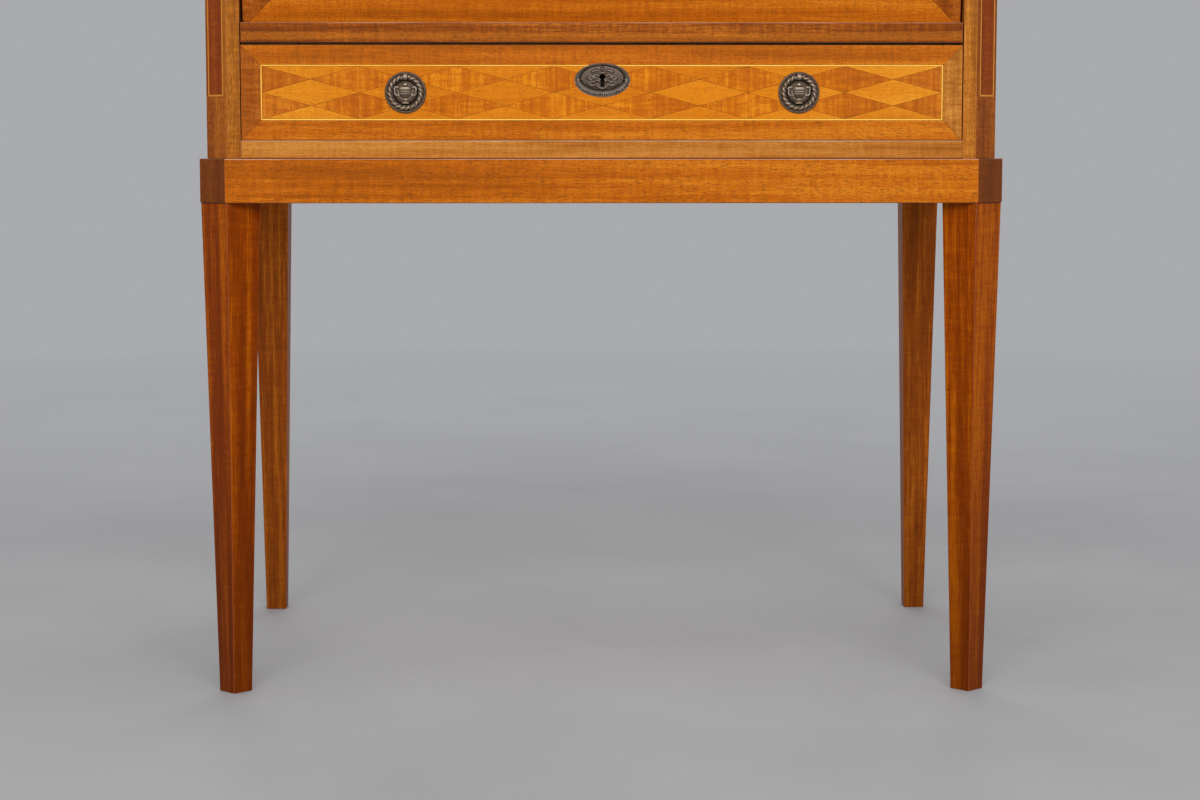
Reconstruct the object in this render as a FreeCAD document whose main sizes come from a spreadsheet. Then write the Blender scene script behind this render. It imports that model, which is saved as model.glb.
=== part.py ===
import FreeCAD, Part
import math
import os
import types
import Sketcher

# Cylinder desk, in millimetres. X runs to the right, Y to the back, Z up.
# The origin lies on the floor, under the middle of the stand.

# Sizes that a user may change, one row of the sheet each
SIZES = {
    # Stand
    "stand_width": 900,
    "stand_depth": 575,
    "leg_height": 556,
    "leg_top": 47,
    "leg_foot": 26,
    "leg_setback": 2.1,
    "back_leg_setback": 0.3,
    "foot_splay": 2.5,
    "tenon_radius": 8,
    "tenon_length": 38,
    "tenon_root": 2,
    "apron_height": 49,
    "apron_thick": 20,
    "corner_cant": 31.5,
    "corner_block": 70,
    # Case
    "case_inset": 8.5,
    "case_setback": 8,
    "stile_width": 40.5,
    "stile_depth": 47,
    "stile_cant": 26,
    "side_thick": 20,
    "floor_thick": 20.5,
    "back_thick": 10,
    "rail_depth": 50,
    "frame_thick": 18.5,
    "runner_width": 40,
    "guide_height": 30,
    "frieze_height": 24,
    "frieze_thick": 21,
    "top_thick": 18,
    "top_lower_thick": 10.8,
    "top_overhang": 6,
    "edge_step": 4,
    # Cylinder
    "pivot_rise": 66.7,
    "sweep_radius": 314,
    "shell_reveal": 7,
    "shell_thick": 20,
    "shell_top_angle": 103.5,
    "shell_end_gap": 2.5,
    "arm_thick": 16,
    "arm_top_angle": 112,
    "arm_spread": 68,
    "hub_radius": 28,
    "pivot_block_half": 39.2,
    "pin_radius": 6,
    "collar_radius": 10,
    "pin_end_gap": 2,
    "frieze_rise": 294,
    # Main drawer and writing slide
    "drawer_height": 104.4,
    "drawer_back_gap": 37,
    "front_thick": 20,
    "lining_thick": 11,
    "lining_clear": 3,
    "back_drop": 6,
    "tail_length": 14,
    "tail_root": 16,
    "tail_tip": 21,
    "bottom_thick": 6,
    "groove_depth": 5,
    "groove_rise": 8,
    "slide_height": 22.5,
    "slide_depth": 460,
    "slide_thick": 11.5,
    "lip_height": 7,
    "lip_thick": 11,
    "leather_margin": 36,
    "leather_thick": 1.5,
    "seam_gap": 2.5,
    "side_gap": 1.2,
    # Ring pulls, escutcheons and locks
    "pull_offset": 218,
    "plate_radius": 23,
    "plate_thick": 1.5,
    "rim_height": 3,
    "rim_width": 2.4,
    "boss_radius": 13.2,
    "boss_height": 5,
    "boss_slope": 0.6,
    "ring_radius": 17.2,
    "ring_wire": 2.8,
    "lug_width": 4,
    "lug_pin_radius": 1,
    "stud_radius": 2.5,
    "stud_length": 14,
    "stud_clear": 0.5,
    "escutcheon_width": 61.5,
    "escutcheon_height": 37.5,
    "escutcheon_thick": 2.4,
    "escutcheon_rise": 13.8,
    "keyhole_radius": 3.4,
    "keyhole_slot": 11.2,
    "keyhole_slot_width": 4.6,
    "keyhole_rise": 3.5,
    "lock_width": 60,
    "lock_height": 40,
    "lock_thick": 11,
    "lock_clear": 2,
    "bolt_width": 18,
    "bolt_thick": 5,
    "bolt_length": 26,
    "bolt_slot_gap": 1,
    "long_bolt_hold": 14,
    "long_bolt_seat": 8,
    "lock_wall": 2,
    # Fitment
    "fitment_gap": 6,
    "fitment_depth": 230,
    "fitment_height": 232,
    "fitment_setback": 207,
    "fitment_thick": 9,
    "bed_front": 192,
    "bed_thick": 9,
    "bed_gap": 1,
    "divider_thick": 7,
    "small_drawer_width": 240,
    "small_drawer_height": 62,
    "small_front_thick": 12,
    "small_lining": 6,
    "tray_drop": 8,
    "tray_back_gap": 4,
    "knob_radius": 7,
    # Fits
    "running_gap": 0.4,
    "glue_gap": 0.1,
    "bearing_gap": 0.05,
}

# How far a cutting shape runs past what it cuts, and a curved one past its last edge
REACH = 5
SPARE_ANGLE = 20

# Turns in degrees; a third of a turn about the cube's diagonal takes each axis to the next
EIGHTH_TURN = 45
QUARTER_TURN = 90
THIRD_TURN = 120
HALF_TURN = 180
FULL_TURN = 360

# Sketcher's numbers for the points of an edge and for a sketch's own origin
START, END, CENTRE = 1, 2, 3
ORIGIN = (-1, 1)

# Where a pull plate's edges are eased, as shares of the rim's height and the boss's height and radius
RIM_EDGE = 0.7
BOSS_EDGE = 0.75
BOSS_FLAT = 0.8

# A knob's outline in shares of its radius: distance from its axis, and out from the drawer front
KNOB_OUTLINE = ((0, 0), (0.55, 0), (0.4, 0.7), (1, 1.3), (0.85, 1.9), (0, 2.1))

doc = FreeCAD.newDocument("cylinder_desk")
sheet = doc.addObject("Spreadsheet::Sheet", "Sizes")
for row, (alias, number) in enumerate(SIZES.items(), start=1):
    sheet.set(f"A{row}", alias)
    sheet.set(f"B{row}", str(number))
    sheet.setAlias(f"B{row}", alias)
nodes = []


class Size:
    """A number together with the sheet formula that gives it."""

    def __init__(self, value, formula):
        self.value = value
        self.formula = formula

    def __add__(self, other):
        other = as_size(other)
        return Size(self.value + other.value, f"({self.formula} + {other.formula})")

    def __sub__(self, other):
        other = as_size(other)
        return Size(self.value - other.value, f"({self.formula} - {other.formula})")

    def __mul__(self, other):
        other = as_size(other)
        return Size(self.value * other.value, f"({self.formula} * {other.formula})")

    def __truediv__(self, other):
        other = as_size(other)
        return Size(self.value / other.value, f"({self.formula} / {other.formula})")

    def __neg__(self):
        return Size(-self.value, f"(-1 * {self.formula})")


def as_size(number):
    return number if isinstance(number, Size) else Size(number, f"({number})")


def leg_of_triangle(long_side, other_leg):
    value = math.sqrt(long_side.value ** 2 - other_leg.value ** 2)
    return Size(value, f"sqrt({long_side.formula}^2 - {other_leg.formula}^2)")


s = types.SimpleNamespace(
    **{alias: Size(number, f"Sizes.{alias}") for alias, number in SIZES.items()}
)

# Places worked out from the sizes above
half = s.stand_width / 2
front = -(s.stand_depth / 2)
back = s.stand_depth / 2
apron_top = s.leg_height + s.apron_height
case_half = half - s.case_inset
case_front = front + s.case_setback
opening_half = case_half - s.stile_width
side_inner = case_half - s.side_thick
stile_back = case_front + s.stile_depth
back_inner = back - s.back_thick
floor_top = apron_top + s.floor_thick
pivot_y = case_front + s.sweep_radius
shell_outer = s.sweep_radius - s.shell_reveal
shell_inner = shell_outer - s.shell_thick
shell_half = opening_half - s.shell_end_gap
frieze_front = pivot_y - leg_of_triangle(s.sweep_radius, s.frieze_rise) - s.case_setback
drawer_bottom = floor_top + s.running_gap
drawer_top = drawer_bottom + s.drawer_height
slide_bottom = drawer_top + s.seam_gap
slide_top = slide_bottom + s.slide_height
writing_top = slide_top - s.lip_height
slide_under = writing_top - s.slide_thick
pivot_z = writing_top + s.pivot_rise
frieze_bottom = pivot_z + s.frieze_rise
frieze_top = frieze_bottom + s.frieze_height
bed_bottom = writing_top + s.bed_gap
bed_top = bed_bottom + s.bed_thick
front_back = case_front + s.front_thick
frame_top = slide_under - s.running_gap
frame_bottom = frame_top - s.frame_thick
long_bolt_front = pivot_y - leg_of_triangle(shell_inner, s.pivot_rise) + s.running_gap
long_bolt_back = long_bolt_front + s.bolt_thick


# Building blocks
def bind(thing, **formulas):
    for name, size in formulas.items():
        thing.setExpression(name, as_size(size).formula)


def place(thing, x, y, z):
    for axis, size in zip("xyz", (x, y, z)):
        thing.setExpression(f".Placement.Base.{axis}", as_size(size).formula)


def node(thing):
    nodes.append(thing)
    return thing


def board(label, x, y, z):
    """A box between the two values given for each axis."""
    box = doc.addObject("Part::Box", label)
    bind(box, Length=x[1] - x[0], Width=y[1] - y[0], Height=z[1] - z[0])
    place(box, x[0], y[0], z[0])
    return box


def rod(label, along, start, radius, length):
    """A cylinder that starts at a point and runs along +X, +Y or +Z."""
    turns = {
        "x": FreeCAD.Rotation(FreeCAD.Vector(0, 1, 0), QUARTER_TURN),
        "y": FreeCAD.Rotation(FreeCAD.Vector(1, 0, 0), -QUARTER_TURN),
        "z": FreeCAD.Rotation(),
    }
    cylinder = doc.addObject("Part::Cylinder", label)
    bind(cylinder, Radius=radius, Height=length)
    cylinder.Placement = FreeCAD.Placement(FreeCAD.Vector(), turns[along])
    place(cylinder, *start)
    return cylinder


def cut(label, base, *tools):
    result = doc.addObject("Part::Cut", label)
    result.Base = base
    result.Tool = tools[0] if len(tools) == 1 else group(f"{label}_tools", *tools)
    return result


def fuse(label, *shapes):
    result = doc.addObject("Part::MultiFuse", label)
    result.Shapes = list(shapes)
    result.Refine = True
    return result


def group(label, *shapes):
    result = doc.addObject("Part::Compound", label)
    result.Links = list(shapes)
    return result


def mirrored(side, low, high):
    """A span on the right side, or its mirror image on the left."""
    return (low, high) if side > 0 else (-high, -low)


def bolt_span(gap):
    """The width of a lock bolt with the gap left on each side of it."""
    return (-(s.bolt_width / 2) - gap, s.bolt_width / 2 + gap)


def sketch_on(body, role, points, arcs=None, holes=(), offset=(0, 0, 0)):
    """A closed outline on an origin plane; arcs maps a segment's number to its centre.

    A coordinate in a one-item list is only where the point is drawn: the arc fixes it.
    """
    arcs = arcs or {}
    sketch = body.newObject("Sketcher::SketchObject", f"{body.Name}_outline")
    plane = [item for item in body.Origin.OriginFeatures if item.Role == role][0]
    sketch.AttachmentSupport = [(plane, "")]
    sketch.MapMode = "FlatFace"
    for axis, size in zip("xyz", offset):
        sketch.setExpression(f".AttachmentOffset.Base.{axis}", as_size(size).formula)
    sizes = [[as_size(c[0] if isinstance(c, list) else c) for c in point] for point in points]
    spots = [FreeCAD.Vector(x.value, y.value, 0) for x, y in sizes]
    count = len(spots)
    ends = []
    for i in range(count):
        start, end = spots[i], spots[(i + 1) % count]
        if i in arcs:
            centre = FreeCAD.Vector(arcs[i][0].value, arcs[i][1].value, 0)
            from_angle = math.atan2(end.y - centre.y, end.x - centre.x)
            to_angle = math.atan2(start.y - centre.y, start.x - centre.x)
            circle = Part.Circle(centre, FreeCAD.Vector(0, 0, 1), (start - centre).Length)
            sketch.addGeometry(Part.ArcOfCircle(circle, from_angle, to_angle), False)
            ends.append((END, START))
        else:
            sketch.addGeometry(Part.LineSegment(start, end), False)
            ends.append((START, END))
    for i in range(count):
        following = (i + 1) % count
        joint = Sketcher.Constraint("Coincident", i, ends[i][1], following, ends[following][0])
        sketch.addConstraint(joint)
    for i, point in enumerate(points):
        for kind, coordinate, size in zip(("DistanceX", "DistanceY"), point, sizes[i]):
            if not isinstance(coordinate, list):
                pin_down(sketch, kind, i, ends[i][0], size)
    for i, centre in arcs.items():
        pin_down(sketch, "DistanceX", i, CENTRE, centre[0])
        pin_down(sketch, "DistanceY", i, CENTRE, centre[1])
    for x, y, radius in holes:
        centre = FreeCAD.Vector(x.value, y.value, 0)
        circle = Part.Circle(centre, FreeCAD.Vector(0, 0, 1), radius.value)
        number = sketch.addGeometry(circle, False)
        pin_down(sketch, "DistanceX", number, CENTRE, x)
        pin_down(sketch, "DistanceY", number, CENTRE, y)
        key = sketch.addConstraint(Sketcher.Constraint("Radius", number, radius.value))
        sketch.renameConstraint(key, f"radius_{number}")
        sketch.setExpression(f"Constraints.radius_{number}", radius.formula)
    return sketch


def pin_down(sketch, kind, geometry, point, size):
    key = sketch.addConstraint(Sketcher.Constraint(kind, *ORIGIN, geometry, point, size.value))
    name = f"{kind}_{geometry}_{point}"
    sketch.renameConstraint(key, name)
    sketch.setExpression(f"Constraints.{name}", size.formula)


def prism(label, role, points, start, length, arcs=None, holes=()):
    """A body padded from an outline on an origin plane, from start along the plane's normal."""
    body = doc.addObject("PartDesign::Body", label)
    sketch = sketch_on(body, role, points, arcs, holes, (0, 0, start))
    pad = body.newObject("PartDesign::Pad", f"{label}_pad")
    pad.Profile = sketch
    bind(pad, Length=length)
    return body


def turned(label, points):
    """A body turned about its own Y axis from an outline of radius and height."""
    body = doc.addObject("PartDesign::Body", label)
    sketch = sketch_on(body, "XY_Plane", points)
    turn = body.newObject("PartDesign::Revolution", f"{label}_turn")
    turn.Profile = sketch
    turn.ReferenceAxis = (sketch, ["V_Axis"])
    turn.Angle = FULL_TURN
    return body


# Stand: legs with round tenons, corner blocks that take them, and apron rails
def leg(label, x, y, turn, splay):
    """A tapered square leg; splay moves its foot out towards the corner."""
    shaft = doc.addObject("Part::Wedge", f"{label}_shaft")
    bind(shaft, Xmin=-(s.leg_foot / 2), Xmax=s.leg_foot / 2)
    bind(shaft, Zmin=splay - s.leg_foot / 2, Zmax=splay + s.leg_foot / 2)
    bind(shaft, X2min=-(s.leg_top / 2), X2max=s.leg_top / 2, Z2min=-(s.leg_top / 2), Z2max=s.leg_top / 2)
    bind(shaft, Ymin=0, Ymax=s.leg_height)
    shaft.Placement = FreeCAD.Placement(
        FreeCAD.Vector(), FreeCAD.Rotation(FreeCAD.Vector(1, 0, 0), QUARTER_TURN)
    )
    tenon = rod(f"{label}_tenon", "z", (0, 0, s.leg_height - s.tenon_root), s.tenon_radius,
                s.tenon_length + s.tenon_root)
    whole = node(fuse(label, shaft, tenon))
    whole.Placement = FreeCAD.Placement(
        FreeCAD.Vector(), FreeCAD.Rotation(FreeCAD.Vector(0, 0, 1), turn)
    )
    place(whole, x, y, 0)


def corner_hole(x, y):
    return [(x, y, s.tenon_radius + s.bearing_gap)]


cant_middle = s.corner_cant / 2
front_leg_in = (s.leg_top / 2 + s.leg_setback) / math.sqrt(2)
front_leg_x = half - cant_middle - front_leg_in
front_leg_y = front + cant_middle + front_leg_in
back_leg_x = half - s.back_leg_setback - s.leg_top / 2
back_leg_y = back - s.back_leg_setback - s.leg_top / 2
back_block = s.leg_top + s.back_leg_setback * 2
apron_z = (s.leg_height, apron_top)
front_blocks = []
back_blocks = []
for side, name in ((-1, "left"), (1, "right")):
    leg(f"{name}_front_leg", front_leg_x * side, front_leg_y, EIGHTH_TURN * side, s.foot_splay)
    leg(f"{name}_back_leg", back_leg_x * side, back_leg_y, 0, as_size(0))
    inner = half - s.apron_thick
    corner = [
        (half - s.corner_cant, front),
        (half, front + s.corner_cant),
        (inner, front + s.corner_cant),
        (inner, front + s.corner_block),
        (half - s.corner_block, front + s.corner_block),
        (half - s.corner_block, front + s.apron_thick),
        (half - s.corner_cant, front + s.apron_thick),
    ]
    front_blocks.append(prism(
        f"{name}_front_block", "XY_Plane", [(x * side, y) for x, y in corner],
        s.leg_height, s.apron_height, holes=corner_hole(front_leg_x * side, front_leg_y),
    ))
    square = [
        (half - back_block, back - back_block),
        (half, back - back_block),
        (half, back),
        (half - back_block, back),
    ]
    back_blocks.append(prism(
        f"{name}_back_block", "XY_Plane", [(x * side, y) for x, y in square],
        s.leg_height, s.apron_height, holes=corner_hole(back_leg_x * side, back_leg_y),
    ))
    node(board(
        f"{name}_apron", mirrored(side, inner, half),
        (front + s.corner_cant, back - back_block), apron_z,
    ))
node(group("front_corner_blocks", *front_blocks))
node(group("back_corner_blocks", *back_blocks))
rail_span = half - s.corner_cant
node(board("front_apron", (-rail_span, rail_span), (front, front + s.apron_thick), apron_z))
rail_span = half - back_block
node(board("back_apron", (-rail_span, rail_span), (back - s.apron_thick, back), apron_z))

# Case: floor, swept stiles, side panels, back boards and the frame over the drawer
floor_outline = [
    (-opening_half, case_front),
    (opening_half, case_front),
    (opening_half, stile_back),
    (side_inner, stile_back),
    (side_inner, back_inner),
    (-side_inner, back_inner),
    (-side_inner, stile_back),
    (-opening_half, stile_back),
]
node(prism("case_floor", "XY_Plane", floor_outline, apron_top, s.floor_thick))


def stile(label, side):
    """A canted post that goes on as a quarter turn about the pivot line."""
    body = doc.addObject("PartDesign::Body", f"{label}_sweep")
    section = [
        (opening_half, -s.sweep_radius),
        (case_half - s.stile_cant, -s.sweep_radius),
        (case_half, s.stile_cant - s.sweep_radius),
        (case_half, s.stile_depth - s.sweep_radius),
        (opening_half, s.stile_depth - s.sweep_radius),
    ]
    sketch = sketch_on(
        body, "XY_Plane", [(x * side, y) for x, y in section], offset=(0, pivot_y, pivot_z)
    )
    post = body.newObject("PartDesign::Pad", f"{label}_post")
    post.Profile = sketch
    post.Reversed = True
    bind(post, Length=pivot_z - apron_top)
    sweep = body.newObject("PartDesign::Revolution", f"{label}_quarter")
    sweep.Profile = sketch
    sweep.ReferenceAxis = (sketch, ["H_Axis"])
    sweep.Angle = QUARTER_TURN
    sweep.Reversed = True
    above = board(
        f"{label}_above", mirrored(side, opening_half - REACH, case_half + REACH),
        (case_front, pivot_y + REACH), (frieze_bottom, pivot_z + s.sweep_radius + REACH),
    )
    return cut(label, body, above)


def side_panel(label, side):
    edge = stile_back + s.glue_gap
    outline = [
        (edge, apron_top),
        (edge, pivot_z),
        (pivot_y, [pivot_z + (pivot_y - edge)]),
        (pivot_y, frieze_bottom),
        (back, frieze_bottom),
        (back, apron_top),
    ]
    start = side_inner if side > 0 else -case_half
    return prism(label, "YZ_Plane", outline, start, s.side_thick, arcs={1: (pivot_y, pivot_z)})


for side, name in ((-1, "left"), (1, "right")):
    node(stile(f"{name}_stile", side))
    node(side_panel(f"{name}_side", side))

board_count = 6
back_width = side_inner * 2 / board_count
back_boards = []
for i in range(board_count):
    start = back_width * i - side_inner
    back_boards.append(board(
        f"back_board_{i + 1}", (start, start + back_width - s.glue_gap),
        (back_inner, back), (apron_top, frieze_top),
    ))
node(group("back_boards", *back_boards))

frame_z = (frame_bottom, frame_top)
bolt_y = front_back + s.running_gap + s.lock_thick / 2
lock_rail = board(
    "lock_rail_blank", (-opening_half, opening_half),
    (front_back + s.running_gap, front_back + s.rail_depth), frame_z,
)
mortise = board(
    "bolt_mortise", bolt_span(s.bolt_slot_gap),
    (bolt_y - s.bolt_thick / 2 - s.bolt_slot_gap, bolt_y + s.bolt_thick / 2 + s.bolt_slot_gap),
    (frame_bottom - REACH, frame_top + REACH),
)
node(cut("lock_rail", lock_rail, mortise))

guides = []
runners = []
for side, name in ((-1, "left"), (1, "right")):
    guides.append(board(
        f"{name}_guide", mirrored(side, opening_half, side_inner),
        (stile_back, back_inner), (floor_top, floor_top + s.guide_height),
    ))
    shelf = board(
        f"{name}_runner_shelf", mirrored(side, side_inner - s.runner_width, side_inner),
        (front_back + s.rail_depth, back_inner), frame_z,
    )
    fence = board(
        f"{name}_runner_fence", mirrored(side, opening_half, side_inner),
        (front_back + s.rail_depth, back_inner), (frame_bottom, bed_bottom),
    )
    runners.append(fuse(f"{name}_runner", shelf, fence))
node(group("drawer_guides", *guides))
node(group("slide_runners", *runners))

# Frieze and top
frieze_span = half - s.corner_cant
frieze_z = (frieze_bottom, frieze_top)
node(board(
    "frieze_rail", (-frieze_span, frieze_span),
    (frieze_front, frieze_front + s.frieze_thick), frieze_z,
))
frieze_sides = []
for side, name in ((-1, "left"), (1, "right")):
    outline = [
        (frieze_span, frieze_front),
        (half, frieze_front + s.corner_cant),
        (half, back),
        (side_inner, back),
        (side_inner, frieze_front + s.frieze_thick),
        (frieze_span, frieze_front + s.frieze_thick),
    ]
    frieze_sides.append(prism(
        f"{name}_frieze", "XY_Plane", [(x * side, y) for x, y in outline],
        frieze_bottom, s.frieze_height,
    ))
node(group("frieze_sides", *frieze_sides))


def top_layer(label, overhang, start, thick):
    edge = half + overhang
    brow = frieze_front - overhang
    outline = [
        (-edge, back),
        (-edge, brow + s.corner_cant),
        (s.corner_cant - edge, brow),
        (edge - s.corner_cant, brow),
        (edge, brow + s.corner_cant),
        (edge, back),
    ]
    return prism(label, "XY_Plane", outline, start, thick)


lower = top_layer("top_lower", s.top_overhang, frieze_top, s.top_lower_thick)
upper = top_layer(
    "top_upper", s.top_overhang - s.edge_step, frieze_top + s.top_lower_thick,
    s.top_thick - s.top_lower_thick,
)
node(fuse("top_board", lower, upper))

# Pivot blocks for the cylinder
blocks = []
for side, name in ((-1, "left"), (1, "right")):
    reach = s.pivot_block_half
    block = board(
        f"{name}_block", mirrored(side, opening_half, side_inner),
        (pivot_y - reach, pivot_y + reach), (pivot_z - reach, pivot_z + reach),
    )
    bore_start = mirrored(side, opening_half - REACH, side_inner + REACH)[0]
    bore = rod(
        f"{name}_bore", "x", (bore_start, pivot_y, pivot_z),
        s.pin_radius + s.bearing_gap, side_inner - opening_half + REACH * 2,
    )
    blocks.append(cut(f"{name}_pivot_block", block, bore))
node(group("pivot_blocks", *blocks))


# Cylinder: curved shell, quadrant arms and pivot pins
def sector(label, radius, angle, start, length):
    """A slice of a cylinder about the pivot line that begins at the back and turns up."""
    slice_of = doc.addObject("Part::Cylinder", label)
    bind(slice_of, Radius=radius, Angle=angle, Height=length)
    slice_of.Placement = FreeCAD.Placement(
        FreeCAD.Vector(), FreeCAD.Rotation(FreeCAD.Vector(1, 1, 1), THIRD_TURN)
    )
    place(slice_of, start, 0, 0)
    return slice_of


def turn_to(thing, angle):
    """Puts a shape built about the origin on the pivot line, turned up from the back."""
    thing.Placement = FreeCAD.Placement(
        FreeCAD.Vector(), FreeCAD.Rotation(FreeCAD.Vector(1, 0, 0), angle.value)
    )
    place(thing, 0, pivot_y, pivot_z)
    thing.setExpression(".Placement.Rotation.Angle", angle.formula)
    return thing


def keyhole(label, face_y, centre_z, depth):
    """A round hole with a slot under it, a little above the plate's centre, cut through the given face."""
    start = face_y - REACH
    eye_z = centre_z + s.keyhole_rise
    eye = rod(f"{label}_eye", "y", (0, start, eye_z), s.keyhole_radius, depth + REACH)
    slot = board(
        f"{label}_slot", (-(s.keyhole_slot_width / 2), s.keyhole_slot_width / 2),
        (start, start + depth + REACH), (eye_z - s.keyhole_slot, eye_z),
    )
    return fuse(label, eye, slot)


shell_face = pivot_y - shell_outer
wide_angle = as_size(HALF_TURN + SPARE_ANGLE) - s.shell_top_angle
shell_ring = turn_to(cut(
    "shell_ring",
    sector("shell_outside", shell_outer, wide_angle, -shell_half, shell_half * 2),
    sector("shell_inside", shell_inner, as_size(FULL_TURN), -shell_half - REACH, shell_half * 2 + REACH * 2),
), s.shell_top_angle)
below = board(
    "shell_below", (-shell_half - REACH, shell_half + REACH),
    (case_front - REACH, pivot_y), (pivot_z - s.sweep_radius, writing_top + s.running_gap),
)
shell_studs = [
    rod(
        f"shell_stud_{i}", "y", (s.pull_offset * side, shell_face - REACH, pivot_z),
        s.stud_radius + s.bearing_gap, s.stud_length + s.stud_clear + REACH,
    )
    for i, side in enumerate((-1, 1))
]
shell_keyhole = keyhole("shell_keyhole", shell_face, pivot_z, s.shell_thick + REACH)
node(cut("cylinder_shell", shell_ring, below, shell_keyhole, *shell_studs))

arm_outer = shell_inner - s.glue_gap
pins = []
for side, name in ((-1, "left"), (1, "right")):
    arm_start = mirrored(side, shell_half - s.arm_thick, shell_half)[0]
    fan = fuse(
        f"{name}_fan",
        sector(f"{name}_quadrant", arm_outer, s.arm_spread, arm_start, s.arm_thick),
        sector(f"{name}_hub", s.hub_radius, as_size(FULL_TURN), arm_start, s.arm_thick),
    )
    turn_to(fan, s.arm_top_angle)
    eye = rod(
        f"{name}_arm_eye", "x", (arm_start - REACH, pivot_y, pivot_z),
        s.pin_radius + s.bearing_gap, s.arm_thick + REACH * 2,
    )
    node(cut(f"{name}_arm", fan, eye))
    reach = mirrored(side, shell_half - s.arm_thick, side_inner - s.pin_end_gap)
    shaft = rod(
        f"{name}_pin_shaft", "x", (reach[0], pivot_y, pivot_z),
        s.pin_radius, reach[1] - reach[0],
    )
    collar_span = mirrored(side, shell_half + s.bearing_gap, opening_half - s.running_gap)
    collar = rod(
        f"{name}_collar", "x", (collar_span[0], pivot_y, pivot_z),
        s.collar_radius, collar_span[1] - collar_span[0],
    )
    pins.append(fuse(f"{name}_pin", shaft, collar))
node(group("pivot_pins", *pins))

# Writing slide: front rail with a lip, board and leather panel
slide_half = opening_half - s.side_gap
rail_section = [
    (case_front, slide_bottom),
    (front_back, slide_bottom),
    (front_back, writing_top),
    (case_front + s.lip_thick, writing_top),
    (case_front + s.lip_thick, slide_top),
    (case_front, slide_top),
]
node(prism("slide_rail", "YZ_Plane", rail_section, -slide_half, slide_half * 2))
slide_y = (front_back, case_front + s.slide_depth)
slide_blank = board("slide_blank", (-slide_half, slide_half), slide_y, (slide_under, writing_top))
leather_x = (s.leather_margin - slide_half, slide_half - s.leather_margin)
leather_y = (slide_y[0] + s.leather_margin, slide_y[1] - s.leather_margin)
recess = board(
    "leather_recess", leather_x, leather_y, (writing_top - s.leather_thick, writing_top + REACH)
)
bolt_seat = board(
    "bolt_seat", bolt_span(s.bolt_slot_gap),
    (long_bolt_front - s.bolt_slot_gap, long_bolt_back + s.bolt_slot_gap),
    (writing_top - s.long_bolt_seat, writing_top + REACH),
)
node(cut("slide_board", slide_blank, recess, bolt_seat))
node(board("leather_panel", leather_x, leather_y, (writing_top - s.leather_thick, writing_top)))

# Main drawer: grooved front and sides, back, bottom and a rim lock
drawer_half = opening_half - s.side_gap
drawer_inner = drawer_half - s.lining_thick
lining_bottom = floor_top + s.running_gap
lining_top = frame_bottom - s.lining_clear
panel_bottom = lining_bottom + s.groove_rise
panel_z = (panel_bottom, panel_bottom + s.bottom_thick)
drawer_back_y = back_inner - s.drawer_back_gap
pull_z = drawer_bottom + s.drawer_height / 2
escutcheon_z = pull_z + s.escutcheon_rise
front_blank = board(
    "drawer_front_blank", (-drawer_half, drawer_half), (case_front, front_back),
    (drawer_bottom, drawer_top),
)
front_groove = board(
    "front_groove", (-drawer_inner - s.groove_depth, drawer_inner + s.groove_depth),
    (front_back - s.groove_depth, front_back + REACH), panel_z,
)
front_studs = [
    rod(
        f"front_stud_{i}", "y", (s.pull_offset * side, case_front - REACH, pull_z),
        s.stud_radius + s.bearing_gap, s.stud_length + s.stud_clear + REACH,
    )
    for i, side in enumerate((-1, 1))
]
front_keyhole = keyhole("front_keyhole", case_front, escutcheon_z, s.front_thick + REACH)


def dovetail(label, span, middle_z, gap):
    """A tail that flares towards the drawer's face or, with a gap, the socket it sits in."""
    tip_y = front_back - s.tail_length - gap
    root, tip = s.tail_root / 2 + gap, s.tail_tip / 2 + gap
    outline = [
        (front_back, middle_z - root),
        (front_back, middle_z + root),
        (tip_y, middle_z + tip),
        (tip_y, middle_z - tip),
    ]
    return prism(label, "YZ_Plane", outline, span[0], span[1] - span[0])


sockets = []
tail_count = 3
tail_pitch = (lining_top - lining_bottom) / tail_count
for side, name in ((-1, "left"), (1, "right")):
    lining = board(
        f"{name}_lining", mirrored(side, drawer_inner, drawer_half),
        (front_back, drawer_back_y), (lining_bottom, lining_top),
    )
    groove = board(
        f"{name}_groove", mirrored(side, drawer_inner - REACH, drawer_inner + s.groove_depth),
        (front_back - s.groove_depth, drawer_back_y + REACH), panel_z,
    )
    tails = []
    for i in range(tail_count):
        middle_z = lining_bottom + tail_pitch * (i + 0.5)
        tail_span = mirrored(side, drawer_inner, drawer_half)
        socket_span = mirrored(side, drawer_inner - s.glue_gap, drawer_half + REACH)
        tails.append(dovetail(f"{name}_tail_{i + 1}", tail_span, middle_z, as_size(0)))
        sockets.append(dovetail(f"{name}_socket_{i + 1}", socket_span, middle_z, s.glue_gap))
    node(cut(f"drawer_{name}_side", fuse(f"{name}_tailed", lining, *tails), groove))
node(cut("drawer_front", front_blank, front_groove, front_keyhole, *front_studs, *sockets))
node(board(
    "drawer_back", (-drawer_inner, drawer_inner),
    (drawer_back_y - s.lining_thick, drawer_back_y), (panel_z[1], lining_top - s.back_drop),
))
panel_half = drawer_inner + s.groove_depth
node(board(
    "drawer_bottom", (-panel_half, panel_half),
    (front_back - s.groove_depth, drawer_back_y), panel_z,
))

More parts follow.
